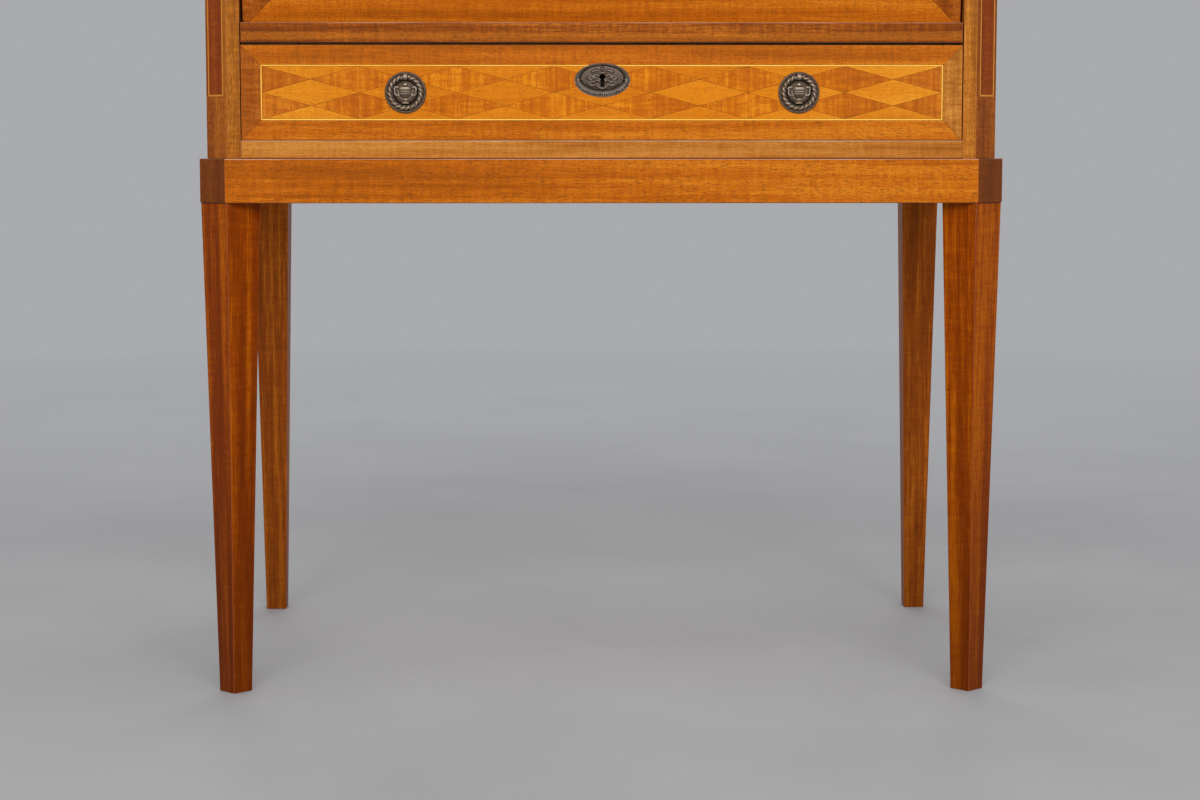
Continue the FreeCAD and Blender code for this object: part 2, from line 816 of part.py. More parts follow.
lock_top = frame_bottom - s.lock_clear
lock_y = (front_back, front_back + s.lock_thick)
lock_blank = board(
    "lock_blank", (-(s.lock_width / 2), s.lock_width / 2), lock_y, (lock_top - s.lock_height, lock_top)
)
channel = board(
    "bolt_channel", bolt_span(s.running_gap),
    (bolt_y - s.bolt_thick / 2 - s.running_gap, bolt_y + s.bolt_thick / 2 + s.running_gap),
    (lock_top - s.bolt_length - s.running_gap, lock_top + REACH),
)
node(cut("drawer_lock_case", lock_blank, channel))
node(board(
    "drawer_lock_bolt", bolt_span(0),
    (bolt_y - s.bolt_thick / 2, bolt_y + s.bolt_thick / 2), (lock_top - s.bolt_length, lock_top),
))
lock_face = pivot_y - leg_of_triangle(shell_inner, s.lock_height / 2) + s.glue_gap
lock_bottom = pivot_z - s.lock_height / 2
long_lock_blank = board(
    "long_lock_blank", (-(s.lock_width / 2), s.lock_width / 2),
    (lock_face, long_bolt_back + s.running_gap + s.lock_wall),
    (lock_bottom, pivot_z + s.lock_height / 2),
)
long_channel = board(
    "long_bolt_channel", bolt_span(s.running_gap),
    (long_bolt_front - s.running_gap, long_bolt_back + s.running_gap),
    (lock_bottom - REACH, lock_bottom + s.long_bolt_hold + s.running_gap),
)
node(cut("cylinder_lock_case", long_lock_blank, long_channel))
node(board(
    "cylinder_lock_bolt", bolt_span(0), (long_bolt_front, long_bolt_back),
    (writing_top + s.lock_clear, lock_bottom + s.long_bolt_hold),
))


# Ring pulls and escutcheons; each is built before a face that looks towards -Y
def pull_plate(label, x, face_y, z):
    groove_in = s.boss_radius + s.boss_slope
    groove_out = s.plate_radius - s.rim_width
    profile = [
        (0, 0),
        (s.plate_radius, 0),
        (s.plate_radius, -s.rim_height * RIM_EDGE),
        (s.plate_radius - s.rim_width / 2, -s.rim_height),
        (groove_out, -s.plate_thick),
        (groove_in, -s.plate_thick),
        (s.boss_radius, -s.boss_height * BOSS_EDGE),
        (s.boss_radius * BOSS_FLAT, -s.boss_height),
        (0, -s.boss_height),
    ]
    dish = turned(f"{label}_dish", profile)
    lug = board(
        f"{label}_lug", (-(s.lug_width / 2), s.lug_width / 2), (-lug_reach, -(s.plate_thick / 2)),
        (s.ring_radius - s.ring_wire, s.ring_radius + s.ring_wire),
    )
    stud = rod(f"{label}_stud", "y", (0, -(s.plate_thick / 2), 0), s.stud_radius, s.stud_length)
    eye = rod(
        f"{label}_eye", "x", (-s.lug_width, -ring_plane, s.ring_radius),
        s.lug_pin_radius + s.bearing_gap, s.lug_width * 2,
    )
    plate = cut(label, fuse(f"{label}_solid", dish, lug, stud), eye)
    place(plate, x, face_y, z)
    return plate


def pull_ring(label, x, face_y, z):
    hoop = doc.addObject("Part::Torus", f"{label}_hoop")
    bind(hoop, Radius1=s.ring_radius, Radius2=s.ring_wire)
    hoop.Placement = FreeCAD.Placement(
        FreeCAD.Vector(), FreeCAD.Rotation(FreeCAD.Vector(1, 0, 0), QUARTER_TURN)
    )
    place(hoop, 0, -ring_plane, 0)
    gap_half = s.lug_width / 2 + s.running_gap
    gap = board(
        f"{label}_gap", (-gap_half, gap_half), (-ring_plane - REACH, s.ring_wire * 2 - ring_plane),
        (s.ring_radius / 2, s.ring_radius * 2),
    )
    pin_half = s.lug_width
    pin = rod(
        f"{label}_pin", "x", (-pin_half, -ring_plane, s.ring_radius), s.lug_pin_radius, pin_half * 2
    )
    ring = fuse(label, cut(f"{label}_open", hoop, gap), pin)
    place(ring, x, face_y, z)
    return ring


def escutcheon(label, face_y, z):
    oval = doc.addObject("Part::Ellipse", f"{label}_oval")
    bind(oval, MajorRadius=s.escutcheon_width / 2, MinorRadius=s.escutcheon_height / 2)
    oval.Placement = FreeCAD.Placement(
        FreeCAD.Vector(), FreeCAD.Rotation(FreeCAD.Vector(1, 0, 0), QUARTER_TURN)
    )
    place(oval, 0, face_y, z)
    plate = doc.addObject("Part::Extrusion", f"{label}_plate")
    plate.Base = oval
    plate.DirMode = "Custom"
    plate.Dir = FreeCAD.Vector(0, -1, 0)
    plate.Solid = True
    bind(plate, LengthFwd=s.escutcheon_thick)
    return cut(label, plate, keyhole(f"{label}_keyhole", face_y, z, s.escutcheon_thick))


ring_plane = s.plate_thick + s.running_gap + s.ring_wire
lug_reach = ring_plane + s.ring_wire
for owner, face_y, z in (
    ("drawer", case_front, pull_z),
    ("cylinder", shell_face - s.glue_gap, pivot_z),
):
    plates = []
    for side, name in ((-1, "left"), (1, "right")):
        plates.append(pull_plate(f"{owner}_{name}_plate", s.pull_offset * side, face_y, z))
        node(pull_ring(f"{owner}_{name}_ring", s.pull_offset * side, face_y, z))
    node(group(f"{owner}_pull_plates", *plates))
node(escutcheon("drawer_escutcheon", case_front, escutcheon_z))
node(escutcheon("cylinder_escutcheon", shell_face - s.glue_gap, pivot_z))

# Fitment: a case of pigeonholes over two small drawers
fit_half = shell_half - s.arm_thick - s.fitment_gap
fit_inner = fit_half - s.fitment_thick
fit_y = (front + s.fitment_setback, front + s.fitment_setback + s.fitment_depth)
fit_z = (bed_top, bed_top + s.fitment_height)
row_top = bed_top + s.small_drawer_height + s.running_gap * 3
inside_y = (fit_y[0], fit_y[1] - s.fitment_thick)
node(board("fitment_floor", (-side_inner, side_inner), (front + s.bed_front, back_inner),
           (bed_bottom, bed_top)))
node(group("fitment_sides", *[
    board(f"{name}_fitment_side", mirrored(side, fit_inner, fit_half), fit_y, fit_z)
    for side, name in ((-1, "left"), (1, "right"))
]))
node(board("fitment_top", (-fit_inner, fit_inner), fit_y, (fit_z[1] - s.fitment_thick, fit_z[1])))
node(board("fitment_shelf", (-fit_inner, fit_inner), inside_y, (row_top, row_top + s.fitment_thick)))
node(board("fitment_back", (-fit_inner, fit_inner), (inside_y[1], fit_y[1]),
           (bed_top, fit_z[1] - s.fitment_thick)))
bay_inner = fit_inner - s.small_drawer_width - s.running_gap * 2
node(group("drawer_dividers", *[
    board(f"{name}_divider", mirrored(side, bay_inner - s.divider_thick, bay_inner), inside_y,
          (bed_top, row_top))
    for side, name in ((-1, "left"), (1, "right"))
]))
hole_count = 5
hole_pitch = (fit_inner * 2 + s.divider_thick) / hole_count
dividers = []
for i in range(1, hole_count):
    right_edge = hole_pitch * i - fit_inner
    dividers.append(board(
        f"pigeonhole_divider_{i}", (right_edge - s.divider_thick, right_edge), inside_y,
        (row_top + s.fitment_thick, fit_z[1] - s.fitment_thick),
    ))
node(group("pigeonhole_dividers", *dividers))

small_z = (bed_top + s.running_gap, bed_top + s.running_gap + s.small_drawer_height)
tray_top = small_z[1] - s.tray_drop
tray_y = (fit_y[0] + s.small_front_thick, inside_y[1] - s.tray_back_gap)
knob_profile = [(s.knob_radius * wide, -s.knob_radius * out) for wide, out in KNOB_OUTLINE]
for side, name in ((-1, "left"), (1, "right")):
    low = bay_inner + s.running_gap
    high = low + s.small_drawer_width
    node(board(f"{name}_small_front", mirrored(side, low, high),
               (fit_y[0], tray_y[0]), small_z))
    walls = [
        board(f"{name}_tray_inner", mirrored(side, low, low + s.small_lining), tray_y,
              (small_z[0], tray_top)),
        board(f"{name}_tray_outer", mirrored(side, high - s.small_lining, high), tray_y,
              (small_z[0], tray_top)),
        board(f"{name}_tray_back", mirrored(side, low + s.small_lining, high - s.small_lining),
              (tray_y[1] - s.small_lining, tray_y[1]), (small_z[0], tray_top)),
        board(f"{name}_tray_bottom", mirrored(side, low + s.small_lining, high - s.small_lining),
              (tray_y[0], tray_y[1] - s.small_lining), (small_z[0], small_z[0] + s.small_lining)),
    ]
    node(group(f"{name}_small_tray", *walls))
    knob = node(turned(f"{name}_small_knob", knob_profile))
    place(knob, (low + high) / 2 * side, fit_y[0], (small_z[0] + small_z[1]) / 2)

# Recompute, check every shape and write one file for each node
doc.recompute()
for thing in doc.Objects:
    if "Invalid" in thing.State or "Error" in thing.State:
        raise RuntimeError(f"{thing.Label} did not recompute: {thing.State}")
os.makedirs("parts", exist_ok=True)
for thing in nodes:
    shape = thing.Shape
    if shape.isNull() or not shape.isValid() or not shape.Solids:
        raise RuntimeError(f"{thing.Label} has no valid solid")
    shape.exportStep(f"parts/{thing.Label}.step")
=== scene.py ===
import math

import bpy
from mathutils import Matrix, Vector


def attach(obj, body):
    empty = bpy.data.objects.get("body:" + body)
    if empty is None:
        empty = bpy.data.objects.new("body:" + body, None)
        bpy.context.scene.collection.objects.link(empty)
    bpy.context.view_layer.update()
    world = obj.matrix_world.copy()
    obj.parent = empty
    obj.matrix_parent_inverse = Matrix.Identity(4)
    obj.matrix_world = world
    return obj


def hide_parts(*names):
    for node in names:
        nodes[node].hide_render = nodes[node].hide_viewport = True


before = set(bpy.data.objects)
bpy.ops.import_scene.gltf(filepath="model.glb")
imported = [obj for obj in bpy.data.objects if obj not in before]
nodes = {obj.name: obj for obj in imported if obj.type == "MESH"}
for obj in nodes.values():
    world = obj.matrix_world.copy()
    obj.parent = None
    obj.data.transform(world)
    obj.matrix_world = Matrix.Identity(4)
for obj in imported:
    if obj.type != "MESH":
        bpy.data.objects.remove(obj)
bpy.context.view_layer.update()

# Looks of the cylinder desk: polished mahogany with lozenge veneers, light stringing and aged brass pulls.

MM = 0.001

# Places in millimetres, as in the part: x from the middle, z from the floor, depth from the apron's front
HALF_DEPTH = 287.5
DRAWER_FACE = 8.0
DRAWER_HALF = 399.8
DRAWER_LOW, DRAWER_HIGH = 625.9, 730.3
PIVOT_DEPTH, PIVOT_Z = 322.0, 815.0
SHELL_RADIUS, SHELL_HALF = 307.0, 398.5
SHELL_LOW_Z = 748.7
SHELL_TOP_ANGLE = math.radians(76.5)
SWEEP_RADIUS = 314.0
CANT_X, CANT = 415.5, 26.0
PULL_X = 218.0
DRAWER_PULL_Z, DRAWER_LOCK_Z = 678.1, 691.9
CYLINDER_FACE = 14.9

# Veneers: how far they and the glue in their seams stand out, the seams' width and the veneers' thickness
PROUD, GLUE_PROUD = 0.15, 0.05
SEAM = 0.30
VENEER_DEPTH = 0.5
# Metres between the grains of a veneer's materials in the values stored on its points
GRAIN_LAYER = 0.01


def at(x, depth, z):
    """Point in metres from millimetres in the part's own measures."""
    return (x * MM, (depth - HALF_DEPTH) * MM, z * MM)


# Materials

class Graph:
    """Nodes of one material, added by short calls."""

    def __init__(self, name):
        self.material = bpy.data.materials.new(name)
        self.material.use_nodes = True
        self.tree = self.material.node_tree
        self.tree.nodes.clear()

    def add(self, kind, inputs, **settings):
        node = self.tree.nodes.new(kind)
        for key, value in settings.items():
            setattr(node, key, value)
        for key, value in inputs.items():
            if isinstance(value, bpy.types.NodeSocket):
                self.tree.links.new(value, node.inputs[key])
            else:
                node.inputs[key].default_value = value
        return node

    def math(self, operation, *values):
        return self.add("ShaderNodeMath", dict(enumerate(values)), operation=operation).outputs[0]

    def vector(self, operation, *values):
        return self.add("ShaderNodeVectorMath", dict(enumerate(values)), operation=operation).outputs[0]

    def place(self):
        """The object's own coordinates, in metres."""
        return self.add("ShaderNodeTexCoord", {}).outputs["Object"]

    def flat(self):
        """The values stored on the points of a veneer or a casting."""
        return self.add("ShaderNodeAttribute", {}, attribute_name="flat").outputs["Vector"]

    def geometry(self, output):
        return self.add("ShaderNodeNewGeometry", {}).outputs[output]

    def part_of(self, vector, axis):
        return self.add("ShaderNodeSeparateXYZ", {0: vector}).outputs["XYZ".index(axis)]

    def noise(self, vector, waves, detail=2.0, roughness=0.5, distortion=0.0):
        """Noise with the given number of waves a metre along each axis."""
        inputs = {"Vector": self.vector("MULTIPLY", vector, waves), "Scale": 1.0, "Detail": detail,
                  "Roughness": roughness, "Distortion": distortion}
        return self.add("ShaderNodeTexNoise", inputs).outputs[0]

    def spread(self, value, low, high, to_low=0.0, to_high=1.0):
        inputs = {0: value, 1: low, 2: high, 3: to_low, 4: to_high}
        return self.add("ShaderNodeMapRange", inputs, clamp=True).outputs[0]

    def ramp(self, factor, places, colours):
        node = self.add("ShaderNodeValToRGB", {"Fac": factor})
        elements = node.color_ramp.elements
        while len(elements) < len(places):
            elements.new(0.5)
        for element, place, colour in zip(elements, places, colours):
            element.position = place
            element.color = (*colour, 1.0)
        return node.outputs[0]

    def mix(self, factor, a, b):
        values = {0: factor}
        for index, colour in ((6, a), (7, b)):
            values[index] = colour if isinstance(colour, bpy.types.NodeSocket) else (*colour, 1.0)
        return self.add("ShaderNodeMix", values, data_type="RGBA").outputs[2]

    def bump(self, height, strength, distance):
        inputs = {"Height": height, "Strength": strength, "Distance": distance}
        return self.add("ShaderNodeBump", inputs).outputs[0]

    def surface(self, **inputs):
        sockets = {key.replace("_", " ").title().replace("Ior", "IOR"): value
                   for key, value in inputs.items()}
        shader = self.add("ShaderNodeBsdfPrincipled", sockets)
        self.add("ShaderNodeOutputMaterial", {"Surface": shader.outputs[0]})
        return self.material


def scaled(colour, share):
    return tuple(share * value for value in colour)


# Turns that bring the grain to the first axis (V runs up a flat veneer), and its shift from piece to piece
GRAIN_TURNS = {"X": (0, 0, 0), "Y": (0, 0, -math.pi / 2), "Z": (0, math.pi / 2, 0), "V": (0, 0, -math.pi / 2)}
GRAIN_SHIFT = (9.1, 4.7, 6.3)


def grain_space(g, grain, flat):
    """Coordinates whose first axis runs along the grain, shifted for each object and each loose piece."""
    whole = g.add("ShaderNodeObjectInfo", {}).outputs["Random"]
    shift = g.math("ADD", whole, g.geometry("Random Per Island"))
    moved = g.add("ShaderNodeVectorMath", {0: GRAIN_SHIFT, "Scale": shift}, operation="SCALE").outputs[0]
    place = g.vector("ADD", g.flat() if flat else g.place(), moved)
    return g.add("ShaderNodeMapping", {"Vector": place, "Rotation": GRAIN_TURNS[grain]}).outputs[0]


# Waves a metre of the patterns in wood, along the grain and across it
BROAD_ALONG, STRIPE_ALONG = 1.6, 2.4
FIBRES, RIPPLES, PORES = (30, 800, 800), (240, 40, 40), (230, 1250, 1250)
PIT_SCALE = 34.0

# Shares of the patterns in the figure, and its values where the three colours lie
BROAD_SHARE, STRIPE_SHARE, FINE_SHARE = 0.30, 0.30, 0.40
FIGURE_PLACES = (0.41, 0.5, 0.59)

# Distances in metres: where the middle's colours fade, where darkening begins, how far it and a streak wander
MIDDLE_FADE = (0.22, 0.40)
DARKEN_LOW, DARKEN_WANDER = 0.1, 0.2
STREAK_WANDER = 0.012

# Parts of the deepest colour in pores, darkening below and painted shade, the colour of pits, the polish's
# tint
PORE_SHADE, DARKEN_SHARE, PAINTED_SHADE_SHARE = 0.45, 0.5, 0.1
PIT = (0.018, 0.006, 0.002)
POLISH = (1.0, 0.68, 0.30, 1.0)
POLISH_IOR = 1.5


def wood(name, deep, body, light, grain="X", flat=False, ripple=0.14, pore=0.6, rough=0.30, stripes=85,
         bands=14, middle=None, darken_below=None, pits=False, streak=None, gloss=0.24, painted_shade_under=False):
    """Polished wood: broad figure, ribbon stripe, fibres, cross ripple and open pores.

    ripple, pore and gloss are strengths; stripes and bands are waves a metre across the grain. middle gives
    other colours for the middle of the desk. darken_below is the height in metres over which a darkening
    towards the bottom fades out. streak is the height and half-width in millimetres of a light band.
    painted_shade_under paints shade on what faces down.
    """
    g = Graph(name)
    along = grain_space(g, grain, flat)
    broad = g.noise(along, (BROAD_ALONG, bands, bands), 2)
    stripe = g.noise(along, (STRIPE_ALONG, stripes, stripes), 2, distortion=0.25)
    fibre = g.noise(along, FIBRES, 3, 0.6)
    cross = g.noise(along, RIPPLES, 2, distortion=0.5)
    figure = g.math("MULTIPLY", broad, BROAD_SHARE)
    figure = g.math("MULTIPLY_ADD", stripe, STRIPE_SHARE, figure)
    figure = g.math("MULTIPLY_ADD", fibre, FINE_SHARE - ripple, figure)
    figure = g.math("MULTIPLY_ADD", cross, ripple, figure)
    colour = g.ramp(figure, FIGURE_PLACES, (deep, body, light))
    if middle:
        outward = g.spread(g.math("ABSOLUTE", g.part_of(g.flat(), "X")), *MIDDLE_FADE)
        colour = g.mix(outward, g.ramp(figure, FIGURE_PLACES, middle), colour)
    if streak:
        height, half_width = (value * MM for value in streak)
        off = g.math("ABSOLUTE", g.math("SUBTRACT", g.part_of(g.place(), "Z"), height))
        off = g.math("MULTIPLY_ADD", stripe, STREAK_WANDER, g.math("ADD", off, -0.5 * STREAK_WANDER))
        colour = g.mix(g.spread(off, 0.5 * half_width, half_width, 0.4, 0.0), colour, light)
    pores = g.spread(g.noise(along, PORES, 1), 0.54, 0.66)
    colour = g.mix(g.math("MULTIPLY", pores, pore), colour, scaled(deep, PORE_SHADE))
    if darken_below:
        height = g.math("MULTIPLY_ADD", broad, DARKEN_WANDER, g.part_of(g.place(), "Z"))
        darker = g.spread(height, DARKEN_LOW, DARKEN_LOW + darken_below, 0.6, 0.0)
        colour = g.mix(darker, colour, scaled(deep, DARKEN_SHARE))
    if pits:
        spots = g.add("ShaderNodeTexVoronoi", {"Vector": along, "Scale": PIT_SCALE}).outputs["Distance"]
        colour = g.mix(g.spread(spots, 0.028, 0.045, 0.9, 0.0), colour, PIT)
    # Painted shade: faces that look down go towards the deepest colour
    if painted_shade_under:
        under = g.spread(g.part_of(g.geometry("Normal"), "Z"), -0.9, -0.5, 0.9, 0.0)
        colour = g.mix(under, colour, scaled(deep, PAINTED_SHADE_SHARE))
    relief = g.math("MULTIPLY_ADD", pores, -0.8, g.math("MULTIPLY", fibre, 0.5))
    sheen = g.math("MULTIPLY_ADD", pores, 0.15, g.spread(stripe, 0.3, 0.7, rough - 0.04, rough + 0.06))
    return g.surface(base_color=colour, roughness=sheen, normal=g.bump(relief, 0.22, 0.0002), ior=POLISH_IOR,
                     specular_ior_level=gloss, specular_tint=POLISH)


def edge_wear_and_light(name, pale, body, grain="X"):
    """Board edge: pale patchy wear and painted highlight where it looks up, painted shade where it looks
    down.
    """
    g = Graph(name)
    along = grain_space(g, grain, False)
    upward = g.part_of(g.geometry("Normal"), "Z")
    # Pale worn patches and a painted highlight on the parts of the edge that look up
    wear_and_highlight = g.math("MAXIMUM", g.spread(g.noise(along, (9, 60, 60), 3, 0.6), 0.40, 0.60),
                     g.spread(upward, 0.2, 0.6, 0.0, 0.7))
    wear_and_highlight = g.math("MULTIPLY", wear_and_highlight, g.spread(upward, 0.05, 0.35))
    fibre = g.noise(along, (30, 700, 700), 2)
    # Painted shade: the parts of the edge that look down go dark
    colour = g.mix(g.spread(upward, -0.5, -0.1), scaled(body, 0.08), body)
    colour = g.mix(wear_and_highlight, colour, pale)
    colour = g.mix(g.spread(fibre, 0.45, 0.75, 0.0, 0.5), colour, scaled(body, 0.5))
    return g.surface(base_color=colour, roughness=0.3, normal=g.bump(fibre, 0.2, 0.0002), ior=POLISH_IOR,
                     specular_ior_level=0.5)


def brass(name, base, bright, darker, rough=0.34, relief=False, mottle=0.06):
    """Cast brass gone brown: dirt in the hollows, rubbed bright on the high places, which relief adds to."""
    g = Graph(name)
    place = g.place()
    cloud = g.noise(place, (180, 180, 180), 3, 0.6)
    speck = g.noise(place, (1100, 1100, 1100), 2)
    high = g.math("ADD", g.geometry("Pointiness"), g.math("MULTIPLY_ADD", cloud, mottle, -0.5 * mottle))
    if relief:
        high = g.math("MULTIPLY_ADD", g.part_of(g.flat(), "X"), 0.045, high)
    colour = g.ramp(high, (0.42, 0.49, 0.52, 0.58), (darker, base, base, bright))
    colour = g.mix(g.spread(speck, 0.5, 0.72, 0.0, 0.6), colour, darker)
    roughness = g.spread(cloud, 0.3, 0.7, rough, rough + 0.18)
    return g.surface(base_color=colour, metallic=0.8, roughness=roughness, normal=g.bump(speck, 0.3, 0.0002))


# Dark old iron, made dark enough that it also paints the shade seen through the keyholes
def steel(name):
    g = Graph(name)
    place = g.place()
    brushed = g.noise(place, (40, 900, 900), 3)
    stain = g.noise(place, (60, 60, 60), 3, 0.6)
    colour = g.ramp(brushed, (0.35, 0.65), ((0.014, 0.012, 0.011), (0.040, 0.037, 0.034)))
    colour = g.mix(g.spread(stain, 0.5, 0.7, 0.0, 0.6), colour, (0.020, 0.012, 0.008))
    return g.surface(base_color=colour, metallic=0.7, roughness=g.spread(stain, 0.3, 0.7, 0.5, 0.7),
                     normal=g.bump(brushed, 0.15, 0.0001))


def leather(name):
    g = Graph(name)
    place = g.place()
    inputs = {"Vector": place, "Scale": 650.0}
    cells = g.add("ShaderNodeTexVoronoi", inputs, feature="DISTANCE_TO_EDGE").outputs[0]
    creases = g.spread(cells, 0.0, 0.18)
    rubbed = g.noise(place, (7, 7, 7), 4, 0.6)
    colour = g.ramp(rubbed, (0.35, 0.55, 0.7),
                    ((0.030, 0.062, 0.028), (0.055, 0.10, 0.045), (0.11, 0.15, 0.07)))
    colour = g.mix(g.spread(creases, 0, 1, 0.6, 0.0), colour, (0.012, 0.022, 0.010))
    return g.surface(base_color=colour, roughness=g.spread(rubbed, 0.35, 0.7, 0.6, 0.42),
                     normal=g.bump(creases, 0.35, 0.0003))


# Three colours of each wood, from the dark of its grain to the light
GOLDEN = ((0.33, 0.070, 0.001), (0.48, 0.110, 0.002), (0.62, 0.185, 0.008))
TONES = {
    "golden": GOLDEN,
    "apron": GOLDEN,
    "drawer": GOLDEN,
    "pale": ((0.31, 0.090, 0.009), (0.45, 0.149, 0.018), (0.57, 0.225, 0.040)),
    "stile": ((0.26, 0.070, 0.006), (0.45, 0.142, 0.013), (0.66, 0.265, 0.040)),
    "red": ((0.20, 0.034, 0.001), (0.32, 0.064, 0.002), (0.50, 0.135, 0.008)),
    "slide": ((0.14, 0.022, 0.001), (0.28, 0.055, 0.002), (0.54, 0.155, 0.010)),
    "leg": ((0.175, 0.026, 0.0005), (0.285, 0.047, 0.0005), (0.49, 0.115, 0.001)),
    "back_leg": ((0.185, 0.032, 0.001), (0.305, 0.060, 0.002), (0.53, 0.142, 0.006)),
    "block": ((0.13, 0.024, 0.001), (0.175, 0.035, 0.001), (0.23, 0.052, 0.003)),
    "inner": ((0.25, 0.062, 0.006), (0.37, 0.098, 0.010), (0.48, 0.155, 0.02)),
    "oak": ((0.38, 0.20, 0.078), (0.52, 0.30, 0.125), (0.63, 0.41, 0.19)),
}
LEG_LOOK = {"pore": 0.25, "ripple": 0.10, "darken_below": 0.35, "pits": True, "rough": 0.42}
TONE_LOOK = {
    "apron": {"bands": 45, "stripes": 110},
    "pale": {"pore": 0.35},
    "slide": {"bands": 70, "streak": (740.5, 5.0), "painted_shade_under": True},
    "leg": {**LEG_LOOK, "stripes": 120, "bands": 40, "gloss": 0.12},
    "back_leg": {**LEG_LOOK, "stripes": 170, "bands": 60},
    "oak": {"rough": 0.55, "pore": 0.7, "ripple": 0.06},
}

# The pale of the edges, how near to it each wood's edges come, and how many millimetres they are rounded
# Where edges look up, this pale is partly wear and partly a painted highlight
PALE_EDGE = (0.66, 0.44, 0.32)
EDGE_WEAR_AND_HIGHLIGHT = {"golden": 0.75, "apron": 0.75, "drawer": 0.0, "pale": 0.75, "stile": 0.0, "red": 0.75,
          "slide": 0.45, "leg": 0.0, "back_leg": 0.0, "block": 0.05, "inner": 0.3, "oak": 0.2}
EDGE = {"golden": 0.8, "apron": 0.8, "drawer": 0.25, "pale": 1.2, "stile": 0.35, "red": 0.7, "slide": 0.9,
        "leg": 0.5, "back_leg": 0.5, "block": 0.7, "inner": 0.5, "oak": 0.6}
finishes = {}


def finish_of(tone, grain):
    """The wood of a board and of its edges, with wear and painted light, made once for each tone and grain
    direction.
    """
    key = f"{tone}_{grain.lower()}"
    if key not in finishes:
        deep, body, light = TONES[tone]
        pale = tuple(b + EDGE_WEAR_AND_HIGHLIGHT[tone] * (a - b) for a, b in zip(PALE_EDGE, body))
        finishes[key] = (wood(key, deep, body, light, grain, **TONE_LOOK.get(tone, {})),
                         edge_wear_and_light(f"{key}_rubbed_and_lit", pale, body, grain))
    return finishes[key]


aged_brass = brass("aged_brass", (0.152, 0.104, 0.067), (0.54, 0.445, 0.355), (0.013, 0.007, 0.003))
ground_brass = brass("ground_brass", (0.082, 0.055, 0.035), (0.24, 0.180, 0.12), (0.015, 0.008, 0.004), 0.5)
# Brass of the urn's bright rows: rubbed, and light enough to paint their highlights
rubbed_highlight_brass = brass("rubbed_highlight_brass", (0.42, 0.335, 0.245), (0.70, 0.605, 0.50), (0.07, 0.047, 0.028), 0.32)
rim_brass = brass("rim_brass", (0.30, 0.240, 0.19), (0.52, 0.45, 0.38), (0.05, 0.032, 0.02), 0.42)
oval_brass = brass("oval_brass", (0.092, 0.064, 0.047), (0.21, 0.170, 0.135), (0.008, 0.004, 0.002), 0.38,
                   relief=True, mottle=0.16)
oval_rim = brass("oval_rim", (0.22, 0.178, 0.150), (0.52, 0.45, 0.39), (0.02, 0.013, 0.009), 0.42,
                 mottle=0.12)
groove_brass = brass("groove_brass", (0.030, 0.020, 0.013), (0.08, 0.060, 0.045), (0.008, 0.005, 0.003), 0.5)
pin_brass = brass("turned_brass", (0.40, 0.27, 0.12), (0.62, 0.47, 0.24), (0.08, 0.05, 0.02))
tooled_gold = brass("tooled_gold", (0.55, 0.36, 0.12), (0.70, 0.50, 0.20), (0.16, 0.11, 0.04), 0.45)
lock_steel = steel("lock_steel")
writing_leather = leather("writing_leather")


# Boards of the part: wood by grain direction, and edges a little rounded, worn and painted with highlight and
# shade
BOARDS = {
    ("apron", "X"): "front_apron back_apron",
    ("apron", "Y"): "left_apron right_apron",
    ("golden", "X"): "frieze_rail top_board",
    ("golden", "Y"): "frieze_sides",
    ("golden", "Z"): "left_side right_side",
    ("drawer", "X"): "drawer_front",
    ("pale", "X"): "case_floor",
    ("stile", "Z"): "left_stile right_stile",
    ("red", "X"): "cylinder_shell slide_board",
    ("slide", "X"): "slide_rail",
    ("leg", "Z"): "left_front_leg right_front_leg left_arm right_arm",
    ("back_leg", "Z"): "left_back_leg right_back_leg",
    ("block", "Z"): "front_corner_blocks back_corner_blocks",
    ("inner", "X"): "fitment_floor fitment_shelf fitment_top fitment_back left_small_front right_small_front",
    ("inner", "Y"): "drawer_dividers pigeonhole_dividers",
    ("inner", "Z"): "fitment_sides",
    ("oak", "X"): "drawer_back drawer_bottom lock_rail",
    ("oak", "Y"): "drawer_left_side drawer_right_side drawer_guides slide_runners "
                  "left_small_tray right_small_tray",
    ("oak", "Z"): "back_boards pivot_blocks",
}
METAL_AND_LEATHER = (
    (lock_steel, 0.4, "drawer_lock_case drawer_lock_bolt cylinder_lock_case cylinder_lock_bolt"),
    (pin_brass, 0.3, "left_small_knob right_small_knob pivot_pins"),
    (writing_leather, 0.3, "leather_panel"),
)
WELD_DISTANCE = 2e-5
FLAT_ANGLE, CORNER_ANGLE = math.radians(0.4), math.radians(38)


def dress(name, materials, edge):
    """Gives a CAD piece its material and round edges, with a second material on the edges if there is one."""
    piece = nodes[name]
    piece.modifiers.new("weld", "WELD").merge_threshold = WELD_DISTANCE
    planar = piece.modifiers.new("planar", "DECIMATE")
    planar.decimate_type = "DISSOLVE"
    planar.angle_limit = FLAT_ANGLE
    rounding = piece.modifiers.new("edges", "BEVEL")
    rounding.width = edge * MM
    rounding.segments = 2
    rounding.limit_method = "ANGLE"
    rounding.angle_limit = CORNER_ANGLE
    rounding.use_clamp_overlap = False
    piece.material_slots[0].material = materials[0]
    for extra in materials[1:]:
        piece.data.materials.append(extra)
        rounding.material = 1


for (tone, grain), names in BOARDS.items():
    for name in names.split():
        dress(name, finish_of(tone, grain), EDGE[tone])
for material, edge, names in METAL_AND_LEATHER:
    for name in names.split():
        dress(name, [material], edge)


# Shapes made here

